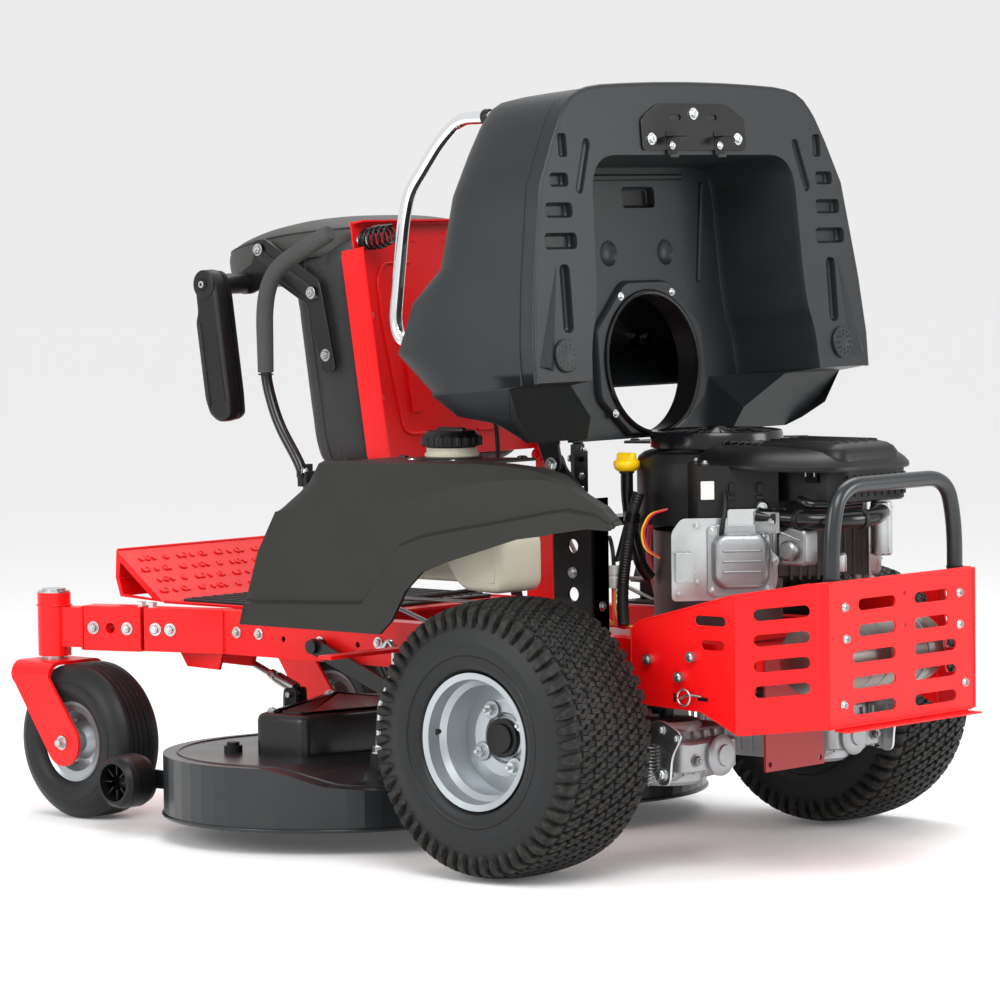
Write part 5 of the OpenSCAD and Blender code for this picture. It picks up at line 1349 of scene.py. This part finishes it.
def electrics():
    """Battery with its leads, and the fuse and relay with their wires."""
    p = Piece()
    puck(p, round_rect(265, -345, 150, 110, 6), [(384, 1), (386, 0), (540, 0), (541, -1.4), (546, -1.4),
                                                 (547, 0), (558, 0.6), (560, 3)], flat, PLASTIC)
    puck(p, round_rect(265, -325, 162, 159, 6), [(378.2, 0), (383, 0), (384, 1)], flat, BLACK)
    for y, m in ((-372, RUBBER), (-318, WIRE_R)):
        p.lathe([(0, 560), (9, 560), (9, 572), (5, 574), (5, 580), (0, 580)], (200, y, 0), (0, 0, 1), m, 24)
        p.tube(bent([(200, y, 574), (230, y, 590), (270, -250, 560), (280, -246, 470), (200, -180, 390)], 26,
                    8), 5, m, 14)
    for x in (15, 40):
        puck(p, round_rect(x + 7, 145, 14, 14, 2.5), [(448, 0.6), (450, 0), (466, 0), (467, 1.2), (470, 1.2),
                                                      (471, 0), (485, 0), (486, 0.8)], flat, WHITE)
        for k, m in enumerate((WIRE_Y, WIRE_O, WIRE_R)):
            start = (x + 3 + k * 4, 145, 449)
            end = [(x + 2 + 3 * k, 149, 410 + 5 * k), (x - 12 + 5 * k, 146 + 5 * k, 388),
                   (x - 44, 136 + 6 * k, 382)]
            p.tube(bent([start, *end], 12, 6), 1.5, m, 10)
    p.tube(bent([(22, 145, 484), (22, 147, 510), (36, 136, 526), (66, 104, 528)], 14, 8), 3.4, RUBBER, 12)
    p.tube(bent([(47, 145, 484), (48, 148, 508), (58, 142, 524), (88, 112, 528)], 14, 8), 3.4, RUBBER, 12)
    p.make("electrics_detailed", "frame", "plastic", ["electrics"], bevel=0.3, angle=45)


def hood_support():
    """The plates and pins that carry the hood."""
    p = Piece()
    side_loop = round_corners([(20, 372), (104, 372), (104, 600), (113, 650), (106, 669), (95, 673),
                               (84, 669), (77, 650), (24, 600)], 8)
    for s in SIDES:
        place = side_view(s)
        holes = [ring(62, 440, 12, 28), ring(62, 520, 12, 28)]
        for d in (197, 203):
            sheet_with_holes(p, side_loop, holes, lambda x, z, d=d: (x, s * d, z), BLACK)
        p.grid([[place(x, z, d) for x, z in side_loop] for d in (197, 203)], BLACK, closed=True)
        for h in holes:
            p.grid([[place(x, z, d) for x, z in h] for d in (197, 203)], BLACK, closed=True)
        p.lathe([(0, 0), (14, 0), (14, 2), (7.2, 2.5), (7.2, 13), (0, 13)], (95, s * 203, 655), (0, s, 0),
                ZINC, 36)
        p.grid([[(x, s * y, z) for y in (160, 197)] for x, z in ((20, 372), (20, 600), (24, 600), (24, 372))],
               BLACK, closed=True)
        for z in (400, 480, 570):
            p.bolt((62, s * 203, z - 4), (0, s, 0), 7)
        p.bolt((20, s * 178, 420), (-1, 0, 0), 6.5)
        p.bolt((20, s * 178, 560), (-1, 0, 0), 6.5)
    puck(p, round_corners([(80, 545), (140, 545), (140, 559.5), (80, 559.5)], 3), [(-197, 0), (197, 0)],
         side_view(1), BLACK)
    # spacer pin with its ring
    p.tube([(120, 203, 590), (120, 262, 590)], 6, ZINC, 20)
    p.tube([(120 + 13 * math.cos(a), 256, 582 + 13 * math.sin(a))
            for a in [k * math.tau / 24 for k in range(23)]], 1.6, ZINC, 8)
    p.tube([(104, 200, 590), (122, 200, 590)], 8, BLACK, 20)
    p.make("hood_support_pressed", "frame", "black", ["hood_support"], bevel=0.5)


engine()
electrics()
hood_support()


# ---- frame, guard, deck: the CAD nodes stay, with fixings and welds added -------------------
def frame_details():
    """Welds, bolts and rods of the frame, guard hems, bumper hoop and foot plate trim."""
    p = Piece()
    # weld beads along the frame's joints
    bx, by = BEND_AT
    arm_a = math.atan2(CASTER_Y - by, PIVOT_X - bx)
    arm_l = math.hypot(CASTER_Y - by, PIVOT_X - bx)
    for s in SIDES:
        def on_arm(t, w, z):
            """t along the front beam's arm, w out from its middle."""
            x = bx + t * math.cos(arm_a) - w * math.sin(arm_a)
            return (x, s * (by + t * math.sin(arm_a) + w * math.cos(arm_a)), z)
        bead = [(850, s * 246, z) for z in np.linspace(302, 376, 26)]
        p.tube([(x + 0.8 * math.sin(k * 2.1), y, z) for k, (x, y, z) in enumerate(bead)], 2.4, RED, 8)
        for t in (arm_l - 190, arm_l - 72):
            p.tube([on_arm(t, 23.5, z) for z in np.linspace(300, 378, 24)], 2.2, RED, 8)
        for t, r in ((95, 5.5), (129, 0), (164, 5.5), (220, 5.5), (250, 5.5)):
            if r:
                out = Vector((-math.sin(arm_a), s * math.cos(arm_a), 0))
                w = 23.2 if t < 200 else 19.2
                p.bolt(on_arm(arm_l - t, w, 340), out, 8.5)
        for x, z in ((-300, 340), (-40, 340), (60, 320), (120, 352), (360, 352), (470, 340), (610, 334),
                     (760, 340), (815, 340)):
            p.bolt((x, s * 245.2, z), (0, s, 0), 7.5)
        p.tube([(lx, s * 263, 380) for lx in np.linspace(522, 554, 14)], 2.2, RED, 8)
        # shock-style stay behind the fender and the parking brake rod
        p.tube([(470, s * 262, 422), (120, s * 262, 424), (60, s * 262, 392)], 3, STEEL, 14)
        p.lathe([(0, 0), (7, 0), (7, 12), (0, 12)], (60, s * 256, 392), (0, s, 0), STEEL, 20)
        # rod that pushes the pump arm from the lever
        p.tube(bent([(538, s * 300, 520), (480, s * 296, 440), (40, s * 272, 300), (-120, s * 262, 264)], 24,
                    6), 4, STEEL, 14)
        p.box(530, 546, *span(s * 286, s * 306), 508, 532, BLACK)
        # grease nipples on the caster pivots
        p.lathe([(0, 0), (4.5, 0), (4.5, 3), (2.6, 5), (2.6, 9), (1.6, 11), (0, 11)],
                (PIVOT_X - 30, s * CASTER_Y, 345), (-1, 0, 0), ZINC, 16)
        # axle pivot collars
        p.tube([(PIVOT_X + 30.6 * math.cos(a), s * CASTER_Y + 30.6 * math.sin(a), 377)
                for a in [k * math.tau / 40 for k in range(41)]], 1.8, RED, 8)
    p.make("frame_fixings", "frame", "zinc", angle=45)

    # guard: rolled hems, fold lines and the lower lip
    g = Piece()
    for s in SIDES:
        top = [(-467, 0, 481), (-467, s * 186, 481), (-452, s * 200, 480), (-344, s * 264, 462),
               (-330, s * 266.5, 460), (-262, s * 266.5, 442), (-140, s * 266.5, 411), (-119, s * 266.5, 396),
               (-118, s * 266.5, 282)]
        g.tube(bent(top, 6, 4), 2.3, RED, 12)
        low = [(-467, 0, 248), (-467, s * 188, 249), (-450, s * 202, 249), (-340, s * 266, 238),
               (-262, s * 266.5, 272), (-120, s * 266.5, 277)]
        g.tube(bent(low, 6, 4), 2.0, RED, 12)
        for x, z in ((-159, 350), (-249, 359), (-224, 325)):
            g.bolt((x, s * 276, z), (0, s, 0), 6.5, ZINC, 3)
        g.tube([(-466.5, s * 193, z) for z in np.linspace(252, 478, 12)], 2.2, RED, 12)
        g.tube([(-337, s * 268, z) for z in np.linspace(242, 458, 12)], 2.0, RED, 12)
    pin = (-236, 271, 293)
    g.tube([(pin[0] + 13 * math.cos(a), 277, pin[2] + 13 * math.sin(a)) for a in angles(28)], 1.7, ZINC, 10)
    g.tube(bent([(pin[0] - 34, 274, 296), (pin[0] - 8, 276, 298), (pin[0] + 12, 272, 290)], 8, 5), 2.2, ZINC, 10)
    g.box(pin[0] - 44, pin[0] - 24, 269.6, 270.4, 289, 294, GLOSSY)
    g.box(-213, -209, 269.6, 270.4, 284, 298, GLOSSY)
    for y, z in ((150, 440), (147, 389), (155, 284), (-155, 442), (-155, 390), (-169, 293)):
        g.lathe([(0, 0), (4.5, 0), (4.5, 0.6), (0, 0.6)], (-471, y, z), (-1, 0, 0), STEEL, 6)
    g.make("guard_hems", "frame", "red", angle=45)

    # bumper hoop
    h = Piece()
    hoop = [(-450.6, 163.6, 400), (-450.6, 163.6, 560), (-450.6, 140, 632), (-450.6, -140, 632),
            (-450.6, -163.6, 560), (-450.6, -163.6, 400)]
    h.tube(bent(hoop, 52, 12), 13, HOOP, 36)
    for y in (163.6, -163.6):
        h.lathe([(12.6, 0), (14.2, 0), (14.2, 3), (12.6, 4)], (-450.6, y, 482), (0, 0, 1), RUBBER, 32)
    h.make("bumper_hoop_smooth", "frame", "hoop", ["bumper_hoop"], angle=50)

    # foot plate: rolled edges, grip strip and dimples
    f = Piece()
    f.tube([(1156.5, y, 419) for y in np.linspace(-211, 211, 16)], 3.0, RED, 12)
    f.tube([(1155, y, 470) for y in np.linspace(-211, 211, 16)], 2.6, RED, 12)
    for s in SIDES:
        f.tube([(x, s * 211.5, 382) for x in np.linspace(562, 1034, 16)], 2.2, RED, 12)
    mat = round_corners([(600, -196), (1010, -196), (1010, 196), (600, 196)], 18, 5)
    puck(f, mat, [(381.2, 1.5), (383, 0), (386, 0.4), (387, 2)], flat, RUBBER)
    for k in range(15):
        y = -182 + k * 26
        puck(f, bar_loop((622, y), (988, y), 9), [(386.6, 0), (389.6, 1.4)], flat, RUBBER)
    slope = math.atan2(89, 120)
    for i in range(4):
        for j in range(-4, 5):
            y = j * 46 + (i % 2) * 23
            if abs(y) < 196:
                f.lathe([(0, 0), (7.5, 0), (6.8, 2.2), (4.6, 3.0), (4.0, 1.4), (0, 1.2)],
                        (1059 + i * 24, y, 381 + (24 + i * 24) * 89 / 120),
                        (-math.sin(slope), 0, math.cos(slope)), RED, 18)
    f.make("foot_plate_trim", "frame", "red", bevel=0.3, angle=45)


def deck_details():
    """Deck edges, belt covers, chute, and the links that hang the deck."""
    p = Piece()
    # rolled skirt edge and the seam of the deck
    (*cl, rl), (*cr, rr) = SPINDLES
    cl, cr = Vector(cl), Vector(cr)
    axis = math.atan2(cr.y - cl.y, cr.x - cl.x)
    tilt = math.asin((rl - rr) / (cr - cl).length)
    loop = []
    for c, r, a0, a1 in ((cl, rl, axis + math.pi / 2 - tilt, axis + 1.5 * math.pi + tilt),
                         (cr, rr, axis - math.pi / 2 + tilt, axis + math.pi / 2 - tilt)):
        loop += [(c.x + r * math.cos(a0 + (a1 - a0) * k / 60), c.y + r * math.sin(a0 + (a1 - a0) * k / 60))
                 for k in range(61)]
    low = [(x, y, 44) for x, y in loop if not (430 < x < 630 and y < -430)]
    cut = next((i for i in range(len(low)) if math.dist(low[i][:2], low[i - 1][:2]) > 90), 0)
    low = low[cut:] + low[:cut]
    p.tube(low, 3.4, DECK, 10)
    ridge = [(x, y) for x, y in inset(loop, 26)]
    height = lambda x: float(np.interp(x, [150, 310, 400, 450, 490, 1000], [60, 104, 118, 138, 148, 148]))
    p.tube([(x, y, height(x) - 0.5) for x, y in ridge + ridge[:1]], 2.6, DECK, 10)
    for x, y, _ in SPINDLES:
        for k in range(8):
            a = math.radians(22.5 + 45 * k)
            p.bolt((x + 54 * math.cos(a), y + 54 * math.sin(a), 151), (0, 0, 1), 6.5)
    for x, y in ((700, 60), (690, 180), (640, -200), (560, -300)):
        p.bolt((x, y, height(x)), (0, 0, 1), 7)
    p.tube([(846, -30, 149), (846, 150, 149)], 5, DECK, 12)
    p.make("deck_edges", "deck", "deck", angle=45)

    # belt covers with folded edges and screws
    c = Piece()
    for loop2 in ([(655, 362), (548, 350), (478, 20), (700, -10), (800, 40)],
                  [(600, -352), (530, -352), (462, -300), (432, -240), (430, -30), (640, -40), (700, -120)]):
        soft = round_corners(loop2, 16, 5)
        puck(c, soft, [(148.1, 0), (205, 0), (211, 1.4), (215.4, 4.6), (217.2, 9)], flat, BLACK)
        inner = inset(soft, 34)
        puck(c, inner, [(216.6, 0), (219.4, 2.5), (220, 6)], flat, BLACK)
        for q in loop2[::2]:
            m = Vector(q).lerp(Vector((sum(a for a, _ in loop2) / len(loop2),
                                       sum(b for _, b in loop2) / len(loop2))), 0.18)
            c.bolt((m.x, m.y, 217), (0, 0, 1), 7)
    c.make("belt_covers_pressed", "deck", "black", ["belt_covers"], bevel=0.6, angle=35)

    # chute: moulded flap with ribs
    t = Piece()
    t.lathe([(5.2, 424), (9.5, 424), (9.5, 640), (5.2, 640)], (0, -504, 160), (1, 0, 0), PLASTIC, 32)
    section = [(-500, 169.5), (-508, 170.5), (-520, 167.5), (-525, 162), (-546, 74), (-543.6, 66.6),
               (-540, 67.5), (-521, 158), (-514, 164.4), (-500, 165.4)]
    t.prism(section, "yz", 424, 640, PLASTIC)
    for k in range(5):
        x = 440 + k * 44
        t.prism([(-524, 160), (-527, 156), (-546.5, 78), (-543, 80)], "yz", x, x + 6, PLASTIC)
    t.tube([(x, -543.8, 69) for x in np.linspace(426, 638, 10)], 3.2, PLASTIC, 12)
    t.make("chute_moulded", "chute", "plastic", ["chute"], bevel=0.8, angle=35)

    # hanging rods
    r = Piece()
    for s in SIDES:
        y = s * 283
        r.tube(bent([(423, y, 336), (410, y, 352), (398, y, 340), (398, y, 300), (432, y, 240),
                     (440, y, 157)], 10, 6), 5, ZINC, 18)
        r.bolt((440, y, 157), (0, 0, 1), 9, ZINC, 12)
        r.lathe([(5, 0), (11, 0), (11, 3), (5, 3)], (440, y, 154), (0, 0, 1), ZINC, 24)
    r.tube([(912, 138, 283), (790, 138, 238)], 6, ZINC, 20)
    r.tube([(822, 138, 249.8), (778, 138, 233.6)], 11, ZINC, 24)
    r.tube([(828, 138, 252.0), (840, 138, 256.4)], 9.5, ZINC, 6)
    fork = round_corners([(764, 149), (792, 149), (792, 236), (764, 236)], 8, 4)
    for d0, d1 in ((124, 130), (146, 152)):
        puck(r, fork, [(d0, 0), (d1, 0)], side_view(1), BLACK)
    r.tube([(778, 116, 224), (778, 160, 224)], 5, ZINC, 16)
    r.lathe([(0, 148), (16, 148), (16, 160), (11, 161), (11, 166), (0, 166)], (700, 372, 0), (0, 0, 1),
            PLASTIC, 30)
    r.make("deck_links", "deck", "zinc", ["deck_fittings"], bevel=0.3, angle=45)


def transaxle(s):
    """A cast drive: case with ribs, pump, axle housing, cover and control arm."""
    p = Piece()
    flat = lambda x, y, d: (x, s * y, d)
    puck(p, round_rect(-60, 195, 258, 188, 34, 6),
         [(146, 22), (149, 12), (156, 4), (166, 0), (186, 0), (187, 3), (192, 3), (193, 0), (222, 0),
          (231, 4), (236, 14)], flat, ALU)
    puck(p, round_rect(-60, 195, 270, 200, 36, 6), [(186.5, 0), (189, 0.6), (192.5, 0)], flat, ALU)
    for k in range(10):
        x = -176 + k * 26
        for y0, y1 in ((99, 103), (287, 291)):
            p.box(x, x + 5, *span(s * y0, s * y1), 158, 228, ALU)
    for k in range(7):
        y = 118 + k * 26
        p.box(-194, -189, *span(s * y, s * (y + 5)), 158, 228, ALU)
    for x, y in ((-178, 112), (-178, 278), (-60, 294), (58, 112), (58, 278), (-60, 97)):
        p.bolt((x, s * y, 193), (0, 0, 1), 6.5, ZINC, 8)
    # pump housing, its fan pulley and axle housing
    p.lathe([(0, 140), (50, 140), (58, 146), (58, 236), (54, 244), (40, 248), (22, 250), (0, 250)],
            (-130, s * 195, 0), (0, 0, 1), ALU, 56)
    p.lathe([(0, 250), (12, 250), (12, 266), (52, 266), (53, 268), (45, 274), (53, 280), (52, 282), (20, 282),
             (18, 286), (0, 286)], (-130, s * 195, 0), (0, 0, 1), PLASTIC, 64)
    for k in range(9):
        a = k * math.tau / 9
        d, n = Vector((math.cos(a), math.sin(a), 0)), Vector((-math.sin(a), math.cos(a), 0))
        c = Vector((-130, s * 195, 292))
        p.add([tuple(c + d * 18 + n * 2), tuple(c + d * 50 + n * 14),
               tuple(c + d * 50 + n * 16 + Vector((0, 0, -9))),
               tuple(c + d * 18 + n * 4 + Vector((0, 0, -9)))], [(0, 1, 2, 3)], PLASTIC)
    p.lathe([(0, 130), (46, 130), (52, 136), (52, 292), (57, 294), (57, 302), (46, 306), (40, 316), (36, 318),
             (14, 320), (12.5, 322), (12.5, 432), (0, 432)], (0, 0, REAR_R), (0, s, 0), ALU, 56)
    # filter boss and cover at the rear, with a drain plug
    puck(p, round_rect(-143, 191, 166, 142, 22, 6), [(166, 4), (169, 0), (212, 0), (216, 5)], flat, ALU)
    p.lathe([(0, 0), (34, 0), (34, 6), (29, 10), (18, 11), (17, 15), (0, 16)], (-226, s * 176, 190),
            (-1, 0, 0), ALU, 40)
    for k in range(5):
        a = k * math.tau / 5 + 0.3
        p.bolt((-231, s * (176 + 27 * math.cos(a)), 190 + 27 * math.sin(a)), (-1, 0, 0), 4.2)
    p.bolt((-226, s * 236, 186), (-1, 0, 0), 8, STEEL, 9)
    # zinc control arm and its return spring at the outer side
    arm = round_corners([(-250, 236), (-204, 258), (-150, 236), (-150, 214), (-176, 196), (-196, 150),
                         (-222, 150), (-226, 196)], 14)
    puck(p, arm, [(292, 0.6), (293, 0), (296, 0), (297, 0.6)], side_view(s), ZINC)
    for x, z, r in ((-168, 226, 8), (-206, 240, 6), (-236, 228, 5), (-206, 168, 8)):
        p.bolt((x, s * 297, z), (0, s, 0), r)
    p.tube([(-186 + 7 * math.cos(i * 0.9), s * (304 + 7 * math.sin(i * 0.9)), 214 - i * 0.8)
            for i in range(80)], 1.5, STEEL, 8)
    p.box(-40, 40, *span(s * 207.5, s * 244.5), 280, 299.9, ALU)
    for x, z in ((-60, 220), (30, 220)):
        p.bolt((x, s * 291, z), (0, s, 0), 6.5)
    p.make("transaxle_%s_cast" % SIDE_NAME[s], "frame", "alu", ["transaxles"] if s > 0 else (), bevel=0.5,
           angle=38)


def under_details():
    """Both drives and the muffler."""
    for s in SIDES:
        transaxle(s)
    m = Piece()
    m.lathe([(0, -160), (30, -159), (46, -155), (54, -150), (56.8, -142), (56.8, 142), (54, 150), (46, 155),
             (30, 159), (0, 160)], (-385, 0, 350), (0, 1, 0), MUFFLER, 56)
    for y in (-110, 110):
        m.lathe([(56.6, -9), (58.6, -8), (58.6, 8), (56.6, 9)], (-385, y, 350), (0, 1, 0), STEEL, 56)
    for k in range(3):
        m.lathe([(56.6, -3), (58.2, 0), (56.6, 3)], (-385, -40 + 40 * k, 350), (0, 1, 0), MUFFLER, 56)
    m.make("muffler_seamed", "frame", "steel", ["muffler"], angle=40)


frame_details()
deck_details()
under_details()

# ---- finishes of the CAD nodes that show ---------------------------------------------------
FINISH = {
    "main_frame": (RED, 1.2), "front_axle_arms": (RED, 1.0), "foot_plate": (RED, 0.6),
    "rear_guard": (RED, 0.5),
    "fasteners": (ZINC, 0.8), "engine_block": (CASTING, 0.8), "blower_housing": (PLASTIC, 1.5),
    "crankshaft": (STEEL, 0.5),
    "transaxles": (ALU, 1.5), "drive_belt": (RUBBER, 0.8), "seat_pan": (RED, 0.5),
    "lever_base_left": (BLACK, 0.8),
    "lever_base_right": (BLACK, 0.8), "caster_fork_left": (RED, 1.2), "caster_fork_right": (RED, 1.2),
    "caster_rim_left": (RIM, 0), "caster_rim_right": (RIM, 0), "rear_rim_left": (RIM, 0),
    "rear_rim_right": (RIM, 0),
    "deck_shell": (DECK, 1.0), "blade_left": (STEEL, 0.6), "blade_right": (STEEL, 0.6),
    "scalp_wheel_left": (PLASTIC, 0.8), "scalp_wheel_right": (PLASTIC, 0.8), "lift_arms": (BLACK, 1.0),
    "ignition_key": (ZINC, 0.4), "pto_knob": (YELLOW, 0.8), "throttle_lever": (PLASTIC, 1.0)}
REST = {"fenders": FENDER, "fuel_tank": TANK, "fuel_cap": PLASTIC, "electrics": PLASTIC,
        "hood_support": BLACK,
        "bumper_hoop": HOOP, "rocker_covers": ALU, "air_cleaner": PLASTIC, "engine_pipes": RUBBER,
        "muffler": MUFFLER,
        "dipstick": YELLOW, "engine_screen": PLASTIC, "seat_springs": BLACK, "seat_switch": PLASTIC,
        "seat_cushion": VINYL, "seat_back": VINYL, "seat_brackets": BLACK, "armrest_left": PLASTIC,
        "armrest_right": PLASTIC, "seat_lead": RUBBER, "hood_shell": HOOD, "hood_fittings": PLASTIC,
        "hood_rails": CHROME,
        "lever_left": GLOSSY, "lever_right": GLOSSY, "caster_tyre_left": TYRE, "caster_tyre_right": TYRE,
        "rear_tyre_left": TYRE, "rear_tyre_right": TYRE, "belt_covers": BLACK, "deck_fittings": ZINC,
        "chute": PLASTIC}
for name, (mat, width) in FINISH.items():
    finish_node(name, mat, width)
for name, mat in REST.items():
    finish_node(name, mat)


def second_finish(node, mat, test):
    """A second material on the faces of a CAD node whose centre passes a test (mm from the rear axle)."""
    me = NODES[node].data
    me.materials.append(mat)
    k = len(me.materials) - 1
    for poly in me.polygons:
        c = poly.center
        if test(c.x * 1000 - AXLE_X, c.y * 1000, c.z * 1000):
            poly.material_index = k


for s in SIDES:
    n = SIDE_NAME[s]
    second_finish("rear_rim_" + n, ZINC, lambda x, y, z,
                  s=s: math.hypot(x, z - REAR_R) < 62 and s * y > REAR_Y + 21.2
                  and math.hypot(x, z - REAR_R) > 32.5)
    second_finish("rear_rim_" + n, PLASTIC, lambda x, y, z,
                  s=s: math.hypot(x, z - REAR_R) < 32.4 and s * y > REAR_Y + 13.5)
    second_finish("caster_fork_" + n, ZINC, lambda x, y, z,
                  s=s: math.hypot(x - PIVOT_X, y - s * CASTER_Y) < 24.5 and z > 279
                  or abs(y - s * CASTER_Y) > 69.2 and z < 160)
# painted shade: the frame's faces behind the axle near its middle get the darker red
second_finish("main_frame", PAINTED_SHADE_RED, lambda x, y, z: x < -236 and abs(y) < 90)
for name, o in NODES.items():
    if not o.hide_render:
        o.data.polygons.foreach_set("use_smooth", [True] * len(o.data.polygons))
        o.data.set_sharp_from_angle(angle=math.radians(30))


# ---- floor, light and camera -----------------------------------------------------------------
def studio():
    """A plain floor, an even white world and four soft lights."""
    me = bpy.data.meshes.new("floor")
    bm = bmesh.new()
    bmesh.ops.create_grid(bm, x_segments=8, y_segments=8, size=30)
    bm.to_mesh(me)
    bm.free()
    floor = bpy.data.objects.new("floor", me)
    bpy.context.scene.collection.objects.link(floor)
    m = bpy.data.materials.new("floor_white")
    m.use_nodes = True
    bsdf = m.node_tree.nodes["Principled BSDF"]
    bsdf.inputs["Base Color"].default_value = (0.93, 0.93, 0.93, 1)
    bsdf.inputs["Roughness"].default_value = 0.75
    bsdf.inputs["Specular IOR Level"].default_value = 0.1
    bsdf.inputs["Emission Color"].default_value = (1, 1, 1, 1)
    bsdf.inputs["Emission Strength"].default_value = 0.06
    me.materials.append(m)
    world = bpy.data.worlds.new("studio")
    world.use_nodes = True
    back = world.node_tree.nodes["Background"]
    back.inputs["Color"].default_value = (1, 1, 1, 1)
    back.inputs["Strength"].default_value = 0.84
    bpy.context.scene.world = world
    bpy.context.scene.view_settings.view_transform = "Standard"
    for name, place, size, power, target in (("key", (-2.6, 2.2, 3.4), 2.2, 110, (0, 0, 0.5)),
                                             ("side", (1.0, 3.8, 1.8), 1.6, 50, (0, 0, 0.5)),
                                             ("top", (0.4, -1.2, 3.6), 2.4, 60, (0, 0, 0.4)),
                                             ("rear", (-3.8, -2.0, 1.6), 1.6, 60, (0, 0, 0.5))):
        light = bpy.data.lights.new(name, "AREA")
        light.energy, light.size = power, size
        o = bpy.data.objects.new(name, light)
        o.location = place
        o.rotation_euler = (Vector(target) - Vector(place)).to_track_quat("-Z", "Y").to_euler()
        bpy.context.scene.collection.objects.link(o)


def camera():
    """The view from behind and to the left, a little above the engine."""
    place, lens = (-5.265, 5.843, 1.082), 163.4
    forward = Vector((0.67017, -0.73942, -0.06432)).normalized()
    roll = math.radians(-0.78)
    right = forward.cross(Vector((0, 0, 1))).normalized()
    up = right.cross(forward)
    r2 = right * math.cos(roll) + up * math.sin(roll)
    u2 = up * math.cos(roll) - right * math.sin(roll)
    data = bpy.data.cameras.new("camera")
    data.lens, data.sensor_width = lens, 36
    o = bpy.data.objects.new("camera", data)
    turn = Matrix((r2, u2, -forward)).transposed()
    o.matrix_world = Matrix.Translation(place) @ turn.to_4x4()
    bpy.context.scene.collection.objects.link(o)
    bpy.context.scene.camera = o


studio()
camera()
